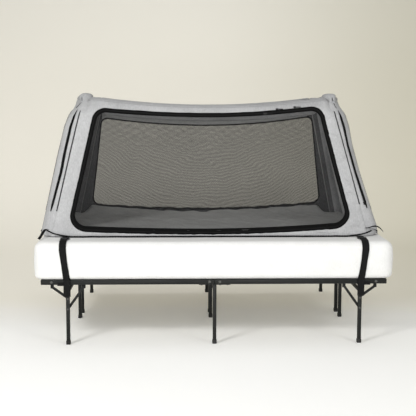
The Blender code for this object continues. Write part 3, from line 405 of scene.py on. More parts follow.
def lay_cloth(columns, rows, place, outward=None, uv=None):
    """A grid laid by place(s, t), both from 0 to 1; faces turn towards outward, or outward(p)."""
    bm = bmesh.new()
    bmesh.ops.create_grid(bm, x_segments=columns, y_segments=rows, size=0.5)
    shares = {v: (v.co.x + 0.5, v.co.y + 0.5) for v in bm.verts}
    if uv:
        layer = bm.loops.layers.uv.new("UVMap")
        for face in bm.faces:
            for corner in face.loops:
                corner[layer].uv = uv(*shares[corner.vert])
    for v in bm.verts:
        v.co = place(*shares[v])
    bmesh.ops.remove_doubles(bm, verts=bm.verts, dist=1e-5)
    bm.normal_update()
    if outward:
        facing = 0.0
        for face in bm.faces:
            way = outward(face.calc_center_median()) if callable(outward) else outward
            facing += face.normal.dot(way) * face.calc_area()
        if facing < 0:
            bmesh.ops.reverse_faces(bm, faces=bm.faces)
    return bm


def round_edges(bm, edges, offset, segments=2):
    """Bevels edges, and gives the faces that the bevel made or touched."""
    made = bmesh.ops.bevel(bm, geom=list(edges), offset=offset, affect="EDGES", segments=segments,
                           profile=0.5, material=-1, clamp_overlap=True)
    return {f for v in made["verts"] for f in v.link_faces}


def stretched_cube(bm, low, high):
    """A cube stretched between its lowest and highest corners."""
    scale = Matrix.Diagonal((*(high - low), 1))
    return bmesh.ops.create_cube(bm, size=1, matrix=Matrix.Translation((low + high) / 2) @ scale)


def add_bar(bm, one, other, edge=0.0015, index=0):
    """A square tube or plate between two corners, with its edges rounded."""
    low, high = Vector(map(min, one, other)), Vector(map(max, one, other))
    made = stretched_cube(bm, low, high)
    edges = {e for v in made["verts"] for e in v.link_edges}
    for face in round_edges(bm, edges, min(edge, min(high - low) * 0.3)):
        face.material_index = index


def add_pin(bm, start, end, radius, sides=20, edge=0.0, index=0):
    """A round pin or bolt head between two points, with its rims rounded."""
    start, end = Vector(start), Vector(end)
    turn = (end - start).to_track_quat("Z", "Y").to_matrix().to_4x4()
    made = bmesh.ops.create_cone(bm, cap_ends=True, segments=sides, radius1=radius, radius2=radius,
                                 depth=(end - start).length,
                                 matrix=Matrix.Translation((start + end) / 2) @ turn)
    faces = {f for v in made["verts"] for f in v.link_faces}
    if edge:
        rims = {e for f in faces for e in f.edges if e.calc_face_angle(0) > 1}
        faces |= round_edges(bm, rims, edge, segments=3)
    for face in faces:
        if face.is_valid:
            face.material_index = index


def finished_copy(node, name, finish, body="bed", edge=0.0007):
    """A merged copy of a plain rigid solid, with its sharp edges rounded."""
    bm = bmesh.new()
    bm.from_mesh(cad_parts[node].data)
    bmesh.ops.remove_doubles(bm, verts=bm.verts, dist=1e-5)
    bmesh.ops.dissolve_limit(bm, angle_limit=0.02, verts=bm.verts, edges=bm.edges)
    round_edges(bm, [e for e in bm.edges if e.calc_face_angle(0) > 0.9], edge)
    bm.normal_update()
    return make_piece(name, bm, [finish], node, body, crisp=35)


ENDS = {"front": -1, "back": 1}
SIDES = {"left": -1, "right": 1}
CORNERS = [(f"{end}_{side}", s, e) for end, e in ENDS.items() for side, s in SIDES.items()]
print("corners:", CORNERS)

# %% [markdown]
# ## The steel platform
# The platform is two rows of square tube with thin slats between them, cut in half across the
# middle so that it folds. Square tube has rounded corners, and their narrow highlights are what
# makes black steel read as tube, so every bar here is a cube with bevelled edges. The ears below
# the rails carry the legs' pivots, and bolts close the joints.

# %% Deck panels
RAIL, RAIL_FOOT, FRAME_TOP = 0.027, 0.329, 0.356
LEG_X, LEG_Y, INNER_Y, PIVOT_Z = 0.79, 0.6665, 0.067, 0.313
STUD_X, STRUT_X = LEG_X + 0.085, LEG_X - 0.085


def corner_tools(bm, s, e, x0=0.0):
    """Bar and pin tools that mirror their x and y into one corner of the bed."""
    def bar(x, y, z, edge, index=0):
        add_bar(bm, *((s * (x0 + x[k]), e * y[k], z[k]) for k in (0, 1)), edge, index)

    def pin(x, y, z, radius, **more):
        add_pin(bm, *((s * (x0 + x), e * end, z) for end in y), radius, **more)

    return bar, pin


def deck_panel(corner, s, e):
    bm = bmesh.new()
    bar, pin = corner_tools(bm, s, e)
    tube = (RAIL_FOOT, FRAME_TOP)
    for y in ((0.653, 0.680), (0.0535, 0.0805)):
        bar((0.0005, 0.9325), y, tube, 0.003)
    for x in (0.0005, 0.9055):
        bar((x, x + RAIL), (0.07, 0.66), tube, 0.003)
    for k in range(5):
        x = 0.014 + 0.905 / 6 * (k + 1)
        bar((x - 0.016, x + 0.016), (0.07, 0.66), (FRAME_TOP - 0.012, FRAME_TOP), 0.002)
    for y in (LEG_Y, INNER_Y):
        for way in (-1, 1):
            near = y + way * 0.0103
            ear = (near, near + way * 0.003)
            bar((LEG_X - 0.011, LEG_X + 0.011), ear, (PIVOT_Z, RAIL_FOOT + 0.006), 0.0006)
            pin(LEG_X, ear, PIVOT_Z, 0.011, edge=0.0006)
    for x in (STUD_X, STRUT_X):
        plate = (x - 0.009, x + 0.009)
        bar(plate, (0.6519, 0.6479), (PIVOT_Z - 0.009, RAIL_FOOT + 0.019), 0.0008)
        bar(plate, (0.650, 0.660), (RAIL_FOOT + 0.004, RAIL_FOOT + 0.016), 0.0008)
    pin(STUD_X, (0.6559, 0.6499), PIVOT_Z, 0.003)
    for x in (0.028, STUD_X):
        pin(x, (0.6795, 0.6812), RAIL_FOOT + 0.0135, 0.0075, edge=0.0005, index=1)
        pin(x, (0.6805, 0.6832), RAIL_FOOT + 0.0135, 0.0045, sides=6, edge=0.0006, index=1)
    make_piece(f"steel_deck_{corner}", bm, [POWDER, ZINC], f"deck_{corner}", crisp=32)


for corner in CORNERS:
    deck_panel(*corner)

# %% [markdown]
# ## Legs
# A folding leg frame is two square legs on a cross tube. Each leg stands in a rubber cap and swings
# on the rod through the deck's ears. The middle legs are bolted to flat saddles instead. The caps
# are a second finish on the same piece, since the real cap is pressed on and never moves.

# %% Leg frames
def leg_frame(name, s, e, folding):
    x0, head = (LEG_X, PIVOT_Z + 0.010) if folding else (0.0, 0.3272)
    bm = bmesh.new()
    bar, pin = corner_tools(bm, s, e, x0)
    for y in (LEG_Y, INNER_Y):
        bar((-0.010, 0.010), (y - 0.010, y + 0.010), (0.004, head), 0.0026)
        bar((-0.012, 0.012), (y - 0.012, y + 0.012), (0, 0.022), 0.0030, index=1)
        if not folding:
            bar((-0.085, 0.085), (y - 0.011, y + 0.011), (0.3257, 0.3287), 0.0008)
            for x in (-0.07, -0.03, 0.03, 0.07):
                add_pin(bm, (x, e * y, 0.3258), (x, e * y, 0.3222), 0.005, sides=6, edge=0.0006,
                        index=2)
    bar((-0.008, 0.008), (INNER_Y, LEG_Y), (PIVOT_Z - 0.032, PIVOT_Z - 0.016), 0.0022)
    if folding:
        for z, shank, rivet in ((0.195, 0.003, 0.0065), (0.251, 0.004, 0.008)):
            pin(0, (LEG_Y, 0.6516), z, shank)
            pin(0, (0.6519, 0.6479), z, rivet, edge=0.001)
            pin(0, (LEG_Y + 0.009, LEG_Y + 0.0128), z, 0.0055, sides=6, edge=0.0007, index=2)
    make_piece(f"steel_legs_{name}", bm, [POWDER, RUBBER, ZINC], f"leg_frame_{name}",
               f"legs_{name}" if folding else "bed", crisp=32)


for end, e in ENDS.items():
    for side, s in SIDES.items():
        leg_frame(f"{end}_{side}", s, e, folding=True)
    leg_frame(f"{end}_middle", 1, e, folding=False)

# %% [markdown]
# ## Rods, braces and clips
# These solids already have their real shape: flat bars with round ends, a rod and bent plates. So
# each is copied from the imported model, its triangles merged, and its rims rounded a little.

# %% Rods, braces and clips
for side in SIDES:
    finished_copy(f"half_clip_{side}", f"steel_clip_{side}", POWDER)
    for end in ENDS:
        corner = f"{end}_{side}"
        finished_copy(f"pivot_rod_{corner}", f"zinc_rod_{corner}", ZINC, edge=0.0005)
        finished_copy(f"fold_strut_{corner}", f"steel_strut_{corner}", POWDER, f"strut_{corner}")
        finished_copy(f"hook_brace_{corner}", f"steel_hook_{corner}", POWDER, f"hook_{corner}")

# %% [markdown]
# ## Outlines
# The mattress, the base sheet and its piping all follow a rectangle with round corners. One
# function walks that outline by a share from 0 to 1 of its length, which lets a grid of cloth be
# laid round it. Another reads a table of marks, which is how most profiles below are written.

# %% Walks, tables and noise
def walk_outline(share, half_x, half_y, corner):
    """The point at a share of the way round, from the middle of the right side, leftwards."""
    turn = math.pi / 2 * corner
    straight_x, straight_y = half_x - corner, half_y - corner
    runs = (straight_y, turn, 2 * straight_x, turn, 2 * straight_y, turn, 2 * straight_x, turn,
            straight_y)
    way = (share % 1.0) * sum(runs)
    for run, length in enumerate(runs):
        if way <= length or run == len(runs) - 1:
            break
        way -= length
    if run % 2:
        side_x, side_y = ((1, 1), (-1, 1), (-1, -1), (1, -1))[run // 2]
        angle = math.pi / 2 * ((run - 1) / 2) + way / corner
        return (side_x * straight_x + corner * math.cos(angle),
                side_y * straight_y + corner * math.sin(angle))
    return ((half_x, way), (straight_x - way, half_y), (-half_x, straight_y - way),
            (-straight_x + way, -half_y), (half_x, -straight_y + way))[run // 2]


def marks_round(marks, place):
    """The two marks on either side of a place, and its share of the way between them."""
    for one, other in zip(marks, marks[1:]):
        if place <= other[0]:
            break
    return one, other, max(0.0, min(1.0, (place - one[0]) / (other[0] - one[0])))


def between(marks, place):
    """Reads a table of (place, value, ...) marks, with straight lines between them."""
    one, other, share = marks_round(marks, place)
    values = [a + (b - a) * share for a, b in zip(one[1:], other[1:])]
    return values if len(values) > 1 else values[0]


def soft_step(share):
    """From 0 to 1 with a soft start and a soft end."""
    share = max(0.0, min(1.0, share))
    return share * share * (3 - 2 * share)


def ripple(point, size, stretch=(1, 1, 1), seed=0.0):
    """Smooth noise from about -1 to 1 at a place; the same place always gives the same value."""
    scaled = Vector(p * k / size for p, k in zip(point, stretch)) + Vector((seed, seed * 0.7, 0))
    return noise.fractal(scaled, 0.8, 2.0, 3)


print("a quarter of the way round:", walk_outline(0.25, 0.955, 0.52, 0.11))

# %% [markdown]
# ## Mattress
# The mattress is a foam slab in a fitted cover: pulled tight over the top, rounded at every edge,
# and turned under at the foot, where an elastic hem gathers it. The cover is laid as rings from the
# hem up the side and over the top. Its faint drag lines are widest near the ends, where it pulls.

# %% Fitted cover and foam
MATTRESS_X, MATTRESS_Y, MATTRESS_CORNER = 0.975, 0.695, 0.06
MATTRESS_FOOT, MATTRESS_TOP = 0.3563, 0.5613
HEM = 0.13

COVER_MARKS = [(0.0, 0.085, MATTRESS_FOOT + 0.0005), (0.12, 0.034, MATTRESS_FOOT),
               (0.42, 0.0, (MATTRESS_FOOT + MATTRESS_TOP) / 2), (1.0, 0.60, MATTRESS_TOP)]
for first, step, start, inset, radius, centre_z in (
        (0.14, 0.020, -90, 0.034, 0.030, MATTRESS_FOOT + 0.030),
        (0.56, 0.025, 0, 0.049, 0.045, MATTRESS_TOP - 0.045)):
    for k in range(7):
        angle = math.radians(start + 15 * k)
        COVER_MARKS.append((first + step * k, inset - radius * math.cos(angle),
                            centre_z + radius * math.sin(angle)))
COVER_MARKS.sort()


def cover_point(s, t):
    inset, z = between(COVER_MARKS, t)
    x, y = walk_outline(s, MATTRESS_X - inset, MATTRESS_Y - inset,
                        max(MATTRESS_CORNER - inset, 0.004))
    if t > HEM:
        away = Vector((x / MATTRESS_X, y / MATTRESS_Y, 0)).normalized()
        pull = (ripple((x, y, z), 0.16, (0.6, 0.6, 1.6)) * 0.0025
                + ripple((x + z, y + z, z - x), 0.05, seed=3.0) * 0.0010)
        side = 1 - min(1, abs(t - 0.42) / 0.3)
        near_end = 0.4 + 0.6 * min(1, abs(x) / MATTRESS_X) ** 2
        x += away.x * (pull - 0.002) * (0.3 + side) * near_end
        y += away.y * (pull - 0.002) * (0.3 + side) * near_end
        if t > 0.6:
            z += (ripple((x, y, 0), 0.22, seed=5.0) - 0.8) * 0.0012 * (1 - side)
    else:
        z += math.sin(s * 420) * 0.0016 * (1 - t / HEM) - 0.0008
    return Vector((x, y, min(z, MATTRESS_TOP)))


bm = lay_cloth(360, 62, cover_point, outward=lambda p: Vector((p.x, p.y, (p.z - 0.45) * 12)))
rim = [e for e in bm.edges if e.is_boundary and e.calc_length() > 0 and e.verts[0].co.z > 0.5]
bmesh.ops.holes_fill(bm, edges=rim)
cover = make_piece("fitted_cover", bm, [COTTON], "mattress_cover")
thicken(cover, "cloth", 0.0012, -1)

low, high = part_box("mattress_core")
spare = Vector((0.010, 0.010, 0.004))
bm = bmesh.new()
stretched_cube(bm, low + spare, high - spare)


def edge_drop(edge):
    return abs(edge.verts[0].co.z - edge.verts[1].co.z)


round_edges(bm, [e for e in bm.edges if edge_drop(e) > 0.1], 0.055, segments=6)
level = [e for e in bm.edges if edge_drop(e) < 1e-4 and abs(e.calc_face_angle(0)) > 1]
round_edges(bm, level, 0.032, segments=4)
foam = make_piece("foam_core", bm, [FOAM], "mattress_core", crisp=60)

# %% [markdown]
# ## The enclosure's forms
# The cloth of the enclosure follows three simple forms: four leaning posts, four top beams of which
# the long two sag, and flat leaning walls that touch both. Two functions say where they are. The
# first gives a post's axis; the second lays a point of a wall, and rolls it over the beam once it
# is above the beam's shoulder, as one panel of cloth does on the real bed.

# %% Posts, beams and walls
CENTRE, FOOT = -0.022, 0.5649
POST_X, POST_Y, POST_R = 0.862, 0.424, 0.078
LEAN_X, LEAN_Y = 0.178 / 0.788, 0.145 / 0.788
BEAM_R, BEAM_RISE, BEAM_SAG = 0.045, 0.725, 0.050
BEAM_OUT = 0.078 - 0.045
BEAM_HALF = POST_X - LEAN_X * BEAM_RISE
FRONT_SWELL = {-1: ((0, 0.003), (0.19, 0.006), (0.44, 0.011), (0.60, 0.009), (0.66, 0.0),
                    (0.742, -0.029), (0.765, -0.012), (0.788, -0.010)),
               1: ((0, 0.014), (0.05, 0.019), (0.15, 0.009), (0.35, -0.007), (0.50, -0.012),
                   (0.60, -0.006), (0.66, -0.010), (0.742, -0.030), (0.765, -0.018),
                   (0.788, -0.014))}


def post_axis(s, e, rise):
    return Vector((CENTRE + s * (POST_X - LEAN_X * rise), e * (POST_Y - LEAN_Y * rise),
                   FOOT + rise))


def post_u(way, rise):
    """Where a post's axis stands along a wall."""
    return POST_X - LEAN_X * rise if way in ENDS else POST_Y - LEAN_Y * rise


def beam_rise(way, u):
    if way in SIDES:
        return BEAM_RISE
    return BEAM_RISE - BEAM_SAG * (1 - min(1, abs(u) / BEAM_HALF) ** 2)


def wall_tilt(way):
    return math.atan(LEAN_Y if way in ENDS else LEAN_X)


def shoulder(way, u):
    """How far up the wall's slope its cloth touches the beam."""
    tilt = wall_tilt(way)
    return beam_rise(way, u) / math.cos(tilt) + BEAM_R * math.sin(tilt)


def facing(way):
    """The level direction that a wall or beam looks in."""
    return Vector((0, ENDS[way], 0)) if way in ENDS else Vector((SIDES[way], 0, 0))


def wall_normal(way):
    tilt = wall_tilt(way)
    return facing(way) * math.cos(tilt) + UP * math.sin(tilt)


def beside(way, u, far, z):
    """A point u along a wall and far out from the enclosure's middle."""
    if way in ENDS:
        return Vector((CENTRE + u, ENDS[way] * far, z))
    return Vector((CENTRE + SIDES[way] * far, u, z))


def slumped(point):
    """Moves the outer side of a front post's cloth: out where it bags, in under the ear."""
    s = 1 if point.x > CENTRE else -1
    axis = post_axis(s, -1, point.z - FOOT)
    out, behind = (point.x - axis.x) * s, point.y - axis.y
    if out > 0 and behind < 0.28:
        share = soft_step(out / 0.06) * (1 - soft_step((behind - 0.02) / 0.26))
        point.x += s * share * between(FRONT_SWELL[s], point.z - FOOT)
    return point


def on_wall(way, u, v, w):
    """A point u along a wall, v up its slope and w out of the plane that touches the posts."""
    tilt = wall_tilt(way)
    snug = BEAM_R * math.cos(tilt)
    over = v - shoulder(way, u)
    if over > 0:
        turn = over / snug
        v, w = v - over + (snug + w) * math.sin(turn), (snug + w) * math.cos(turn) - snug
    far = ((POST_Y if way in ENDS else POST_X) + POST_R - v * math.sin(tilt)
           + w * math.cos(tilt))
    return slumped(beside(way, u, far, FOOT + v * math.cos(tilt) + w * math.sin(tilt)))


def beam_axis(way, u):
    rise = beam_rise(way, u)
    out = POST_Y - LEAN_Y * rise if way in ENDS else POST_X - LEAN_X * rise
    return beside(way, u, out + BEAM_OUT, FOOT + rise)


def from_post(s, e):
    """The way out of a post at a point."""
    return lambda p: p - post_axis(s, e, max(0, min(0.78, p.z - FOOT)))


def from_beam(way):
    return lambda p: p - beam_axis(way, p.x - CENTRE if way in ENDS else p.y)


middle = on_wall("front", 0, shoulder("front", 0), 0)
print("front beam's middle at", tuple(round(v, 3) for v in middle))

# %% [markdown]
# ## Base sheet and piping
# The enclosure stands on a sheet with round black piping sewn along its edge. The air posts have
# round feet that pull the sheet's corners up off the mattress, most of all at the front left. So
# the sheet is laid flat and its corners are lifted by a smooth hump, and the piping takes the same
# lift.

# %% Base sheet and piping
BASE_X, BASE_Y, BASE_CORNER = 0.955, 0.52, 0.11
BASE_FOOT = 0.5616
CORNER_LIFTS = {(-1, -1): 0.040, (1, -1): 0.032, (-1, 1): 0.012, (1, 1): 0.012}


def corner_lift(x, y):
    """How far the base is pulled up at a place near one of its corners."""
    lift = 0.0
    for (s, e), height in CORNER_LIFTS.items():
        reach = math.hypot(x - CENTRE - s * 0.95, (y - e * 0.50) * 0.8)
        lift += height * max(0, 1 - reach / 0.20) ** 1.6
    return lift


def drawn_in(x, y, lift):
    """A corner that is pulled up also comes in towards its post."""
    return x - math.copysign(0.7 * lift, x), y - math.copysign(0.2 * lift, y)


def base_point(s, t):
    inset = 0.55 * BASE_Y * (1 - t) ** 1.4
    x, y = walk_outline(s, BASE_X - inset, BASE_Y - inset, max(BASE_CORNER - inset, 0.01))
    pucker = ripple((x, y, 0), 0.035, seed=9.0) * 0.0012 * t
    lift = corner_lift(CENTRE + x, y) * t ** 3
    x, y = drawn_in(x, y, lift)
    return Vector((CENTRE + x, y, BASE_FOOT + 0.0022 + lift + max(0, pucker)))


def piping_point(s, t):
    x, y = walk_outline(s, BASE_X, BASE_Y, BASE_CORNER)
    straight = Vector((max(-0.845, min(0.845, x)), max(-0.41, min(0.41, y)), 0))
    away = (Vector((x, y, 0)) - straight).normalized()
    angle = 2 * math.pi * t
    rope = 0.0040 + 0.0006 * math.sin(s * 2400 + 2 * angle)
    wave = ripple((x, y, 0), 0.09, seed=12.0) * 0.0010
    lift = corner_lift(CENTRE + x, y)
    x, y = drawn_in(x, y, lift)
    centre = Vector((CENTRE + x, y, BASE_FOOT + 0.0040 + lift + max(0, wave)))
    return centre + away * rope * math.cos(angle) + Vector((0, 0, rope * math.sin(angle)))


bm = lay_cloth(300, 16, base_point, outward=UP)
rim = [e for e in bm.edges if e.is_boundary and abs(e.verts[0].co.y) < 0.25
       and abs(e.verts[0].co.x - CENTRE) < 0.7]
bmesh.ops.holes_fill(bm, edges=rim)
base = make_piece("base_sheet", bm, [HEATHER], "base_panel")

bm = lay_cloth(900, 8, piping_point, outward=lambda p: Vector((p.x, p.y, 0)),
               uv=lambda s, t: (s * 5.7, t * 0.025))
make_piece("base_piping", bm, [BINDING], slot="base_panel")

# %% [markdown]
# ## Padded floor
# The floor is a thin quilted pad cut round the posts. Its cloth is slack, so it lies in long soft
# folds. A pillow shape swollen by simulation gives the full edges and the crowned middle, and the
# folds are moved into it afterwards, because pressure alone would iron them out.

# %% A cloth simulation for padded pieces
def applied(piece):
    """Makes the mesh that a piece's modifiers show its own mesh."""
    shown = bpy.context.evaluated_depsgraph_get()
    mesh = bpy.data.meshes.new_from_object(piece.evaluated_get(shown))
    piece.modifiers.clear()
    piece.data = mesh


def swell(piece, voxel, pressure, cap, hold):
    """Blows a closed piece up as cloth; hold(co) says what stays, cap how far the rest may go."""
    remesh = piece.modifiers.new("even faces", "REMESH")
    remesh.mode = "VOXEL"
    remesh.voxel_size = voxel
    applied(piece)
    rest = [v.co.copy() for v in piece.data.vertices]
    pinned = piece.vertex_groups.new(name="held")
    pinned.add([k for k, co in enumerate(rest) if hold(co)], 1.0, "REPLACE")
    cloth = piece.modifiers.new("air", "CLOTH").settings
    cloth.use_pressure = True
    cloth.uniform_pressure_force = pressure
    cloth.effector_weights.gravity = 0
    cloth.vertex_group_mass = "held"
    cloth.tension_stiffness = 20
    cloth.quality = 5
    for step in range(1, 21):
        scene.frame_set(step)
    applied(piece)
    for v, co in zip(piece.data.vertices, rest):
        move = v.co - co
        if move.length > cap:
            v.co = co + move * (cap / move.length)
    scene.frame_set(1)


print("simulation is", "on")

# %% Padded floor
PAD_TOP = 0.5999


def pad_outline(steps):
    """Straight edges with a round bite at each post."""
    half_x, half_y, bite_x, bite_y, bite = 0.894, 0.465, 0.858, 0.421, 0.0895
    points = []
    for s, e in ((1, 1), (-1, 1), (-1, -1), (1, -1)):
        centre = Vector((s * bite_x, e * bite_y))
        edge_y = centre.x - s * math.sqrt(bite ** 2 - (half_y - bite_y) ** 2), e * half_y
        edge_x = s * half_x, centre.y - e * math.sqrt(bite ** 2 - (half_x - bite_x) ** 2)
        ends = (edge_x, edge_y) if s * e > 0 else (edge_y, edge_x)
        start, stop = (math.atan2(p[1] - centre.y, p[0] - centre.x) for p in ends)
        turn = (stop - start) % (2 * math.pi) - 2 * math.pi
        for k in range(steps + 1):
            angle = start + turn * k / steps
            points.append((centre.x + bite * math.cos(angle), centre.y + bite * math.sin(angle)))
    return points


bm = bmesh.new()
under = bm.faces.new([bm.verts.new((CENTRE + x, y, FOOT + 0.001)) for x, y in pad_outline(10)])
grown = bmesh.ops.extrude_face_region(bm, geom=[under])["geom"]
upper = [g for g in grown if isinstance(g, bmesh.types.BMVert)]
bmesh.ops.translate(bm, verts=upper, vec=(0, 0, 0.028))
rims = [e for e in bm.edges if all(v in upper for v in e.verts) and len(e.link_faces) == 2]
round_edges(bm, rims, 0.011, segments=4)
bmesh.ops.recalc_face_normals(bm, faces=bm.faces)
pad = make_piece("padded_floor", bm, [], "floor_pad")
swell(pad, 0.011, 3.0, 0.006, lambda co: co.z < FOOT + 0.006)
for v in pad.data.vertices:
    if v.co.z > FOOT + 0.008:
        share = min(1, (v.co.z - FOOT - 0.008) / 0.015)
        long_fold = ripple((v.co.x + v.co.y * 0.6, v.co.y * 0.5, 0), 0.17, seed=21.0)
        quilt = ripple((v.co.x, v.co.y, 0), 0.09, seed=23.0)
        off = abs(v.co.x - CENTRE)
        heap = soft_step((v.co.y - 0.16) / 0.26) * (1 - soft_step((off - 0.73) / 0.05))
        heap *= -0.003 + 0.034 * (off / 0.73) ** 2 + (0.006 if v.co.x > 0 else 0)
        rise = max(0, 1 - abs(long_fold) * 2.6) * 0.009 + quilt * 0.004 - 0.001
        v.co.z = min(v.co.z + share * rise, PAD_TOP + 0.004) + share * heap
pad.data.materials.append(PAD_CLOTH)
pad.data.polygons.foreach_set("use_smooth", [True] * len(pad.data.polygons))
soft = pad.modifiers.new("soft", "SUBSURF")
soft.levels = soft.render_levels = 1
print("padded_floor:", len(pad.data.polygons), "faces before smoothing")

# %% [markdown]
# ## Corner posts
# Each post is a tube of heather cloth over a bladder of air, wide and round for most of its height,
# with soft shoulders and a squarish ear at the top where the three seams meet. The cloth is a tube
# of rings laid from the foot to the ear. It is slack below and at the shoulder, so ripples run
# round it there. The half that faces the room is lined in black.

# %% Post covers
POST_MARKS = ((0.0, 0.064), (0.010, 0.0735), (0.028, 0.0768), (0.10, 0.0772), (0.62, 0.0772),
              (0.67, 0.0768), (0.70, 0.0740), (0.725, 0.0665), (0.745, 0.0575), (0.765, 0.0555),
              (0.779, 0.0525), (0.785, 0.0450), (0.7875, 0.0340), (0.788, 0.0008))
POST_TOP = POST_MARKS[-1][0]
LID_MARKS = [mark for mark in POST_MARKS if mark[0] >= 0.779]
EAR_FOLDS = {-1: ((0.70, 0.90), (0.72, 0.80), (0.75, 0.50), (0.788, 0.15)),
             1: ((0.70, 0.30), (0.788, 0.10))}


def post_radius(rise):
    one, other, share = marks_round(POST_MARKS, rise)
    share = soft_step(share) if one[0] > 0.6 else share
    return one[1] + (other[1] - one[1]) * share


def on_post(s, e, turn, rise, w):
    """A point on a post's cover, turned from its outer face to its outer side, w proud of it."""
    ear = soft_step((rise - 0.735) / 0.03)
    power = 2 + max(0.0, min(1.0, (rise - 0.70) / 0.06)) * 1.4
    wide = (abs(math.sin(turn)) ** power + abs(math.cos(turn)) ** power) ** (-1 / power)
    inner = max(0, -math.sin(turn))
    if e > 0:
        thin = 1 - (0.60 if s > 0 else 0.38) * inner
    else:
        thin = 1 - 0.30 * inner * ear
    radius = post_radius(rise) * wide * thin + w
    out = Vector((s * math.sin(turn), e * math.cos(turn), 0))
    point = post_axis(s, e, rise) + out * radius
    if e > 0:
        point.z -= 0.25 * max(0, rise - 0.70)
    else:
        # the front ears' tops are domed, and the one on the left leans outward over its neck
        aside = radius * math.sin(turn) / 0.05
        droop = 0.013 * abs(aside) ** 1.5 if aside < 0 else (0.010 if s < 0 else 0.002) * aside ** 2
        point.z -= droop * ear
        point.x -= 0.008 * ear if s < 0 else 0.0
    return slumped(point)


def post_wrinkle(s, e, turn, rise):
    point = (math.cos(turn) + s * 3, math.sin(turn) + e * 3, rise * 9)
    slack = 0.35 + 0.65 * max(0, 1 - rise / 0.25) + 0.5 * max(0, 1 - abs(rise - 0.70) / 0.10)
    ring = ripple(point, 1.0, (0.55, 0.55, 1.7), seed=31.0)
    fine = ripple(point, 0.32, (0.5, 0.5, 1.2), seed=33.0)
    fold = 0.0
    if e < 0 and rise > 0.70:
        across = (turn - between(EAR_FOLDS[s], rise) + math.pi) % (2 * math.pi) - math.pi
        fold = 0.006 * math.exp(-(across / 0.12) ** 2) * soft_step((rise - 0.70) / 0.03)
    return max(0, ring) * 0.0034 * slack + max(0, fine) * 0.0010 - fold


def post_cover(corner, s, e):
    def place(along, up):
        rise = POST_TOP * up
        if up > 0.93:
            step = (up - 0.93) / 0.07 * (len(LID_MARKS) - 1)
            k = min(int(step), len(LID_MARKS) - 2)
            rise = LID_MARKS[k][0] + (LID_MARKS[k + 1][0] - LID_MARKS[k][0]) * (step - k)
        elif up >= 0.85:
            rise = POST_TOP * (0.85 + 0.15 * math.sin((up - 0.85) / 0.15 * math.pi / 2))
        turn = 2 * math.pi * along
        return on_post(s, e, turn, rise, post_wrinkle(s, e, turn, rise) if rise < 0.775 else 0.0)

    bm = lay_cloth(110, 190, place, outward=from_post(s, e))
    for face in bm.faces:
        centre = face.calc_center_median()
        out = from_post(s, e)(centre)
        in_room = out.x * s < -0.012 and out.y * e < -0.012 and centre.z < FOOT + 0.735
        face.material_index = 1 if in_room else 0
    piece = make_piece(f"post_cover_{corner}", bm, [HEATHER, LINING], f"post_sleeve_{corner}")


for corner in CORNERS:
    post_cover(*corner)

# %% [markdown]
# ## Top beams and bladder
# The beams are tubes of the same cloth that run from post to post. The long two sag in the middle
# under their own weight and the roof's pull. A wall's cloth rolls over their outside, so only their
# inner half is ever seen, and that half is grey lining. Inside the covers lies the clear bladder.

# %% Beam covers and air bladder
def beam_half(way):
    return post_u(way, BEAM_RISE) - 0.045


def beam_taper(way, u):
    """The beams narrow where they go into the posts."""
    return 1 - 0.5 * soft_step((abs(u) - beam_half(way) + 0.075) / 0.07)


def beam_cover(way):
    across = facing(way)

    def place(along, round_share):
        u = beam_half(way) * (2 * along - 1)
        turn = 2 * math.pi * round_share
        slack = ripple((u * 12, math.cos(turn), math.sin(turn)), 1.0, (1.5, 1, 1), seed=41.0)
        radius = (BEAM_R - 0.0012 + min(0, slack) * 0.002) * beam_taper(way, u)
        ring = across * math.cos(turn) + UP * math.sin(turn)
        return slumped(beam_axis(way, u) + ring * radius)

    bm = lay_cloth(150 if way in ENDS else 60, 40, place, outward=from_beam(way))
    for face in bm.faces:
        inward = from_beam(way)(face.calc_center_median()).dot(across) < 0.012
        face.material_index = 1 if inward else 0
    piece = make_piece(f"beam_cover_{way}", bm, [HEATHER, BEAM_LINING], f"top_sleeve_{way}")


def post_tube(s, e):
    def place(along, up):
        inset = 0.004 if 0.02 < up < 0.98 else 0.9 * post_radius(0.76 * up)
        return on_post(s, e, 2 * math.pi * along, 0.004 + 0.76 * up, -inset)

    return lay_cloth(32, 40, place, outward=from_post(s, e))


def beam_tube(way):
    across = Vector(map(abs, facing(way)))

    def place(along, round_share):
        u = (beam_half(way) - 0.004) * (2 * along - 1)
        turn = 2 * math.pi * round_share
        ring = across * math.cos(turn) + UP * math.sin(turn)
        return slumped(beam_axis(way, u) + ring * 0.0400 * beam_taper(way, u))

    return lay_cloth(60, 20, place, outward=from_beam(way))


def gathered(parts):
    """Puts several meshes into one."""
    whole = bmesh.new()
    for part in parts:
        mesh = bpy.data.meshes.new("part")
        part.to_mesh(mesh)
        part.free()
        whole.from_mesh(mesh)
        bpy.data.meshes.remove(mesh)
    return whole


WAYS = (*ENDS, *SIDES)
for way in WAYS:
    beam_cover(way)
tubes = [post_tube(s, e) for _, s, e in CORNERS] + [beam_tube(way) for way in WAYS]
make_piece("air_bladder", gathered(tubes), [FILM], "air_frame")

# %% [markdown]
# ## Openings and wall cloth
# The door and the window are rounded trapezoids with a top edge that sags with the beam. Their
# outline is walked by shares of its length, with the same share for the same corner at every size.
# So the cloth round an opening is a ring of rows between two walks: the opening's edge, and the
# wall's own edge down the posts, along the foot and over the beam.

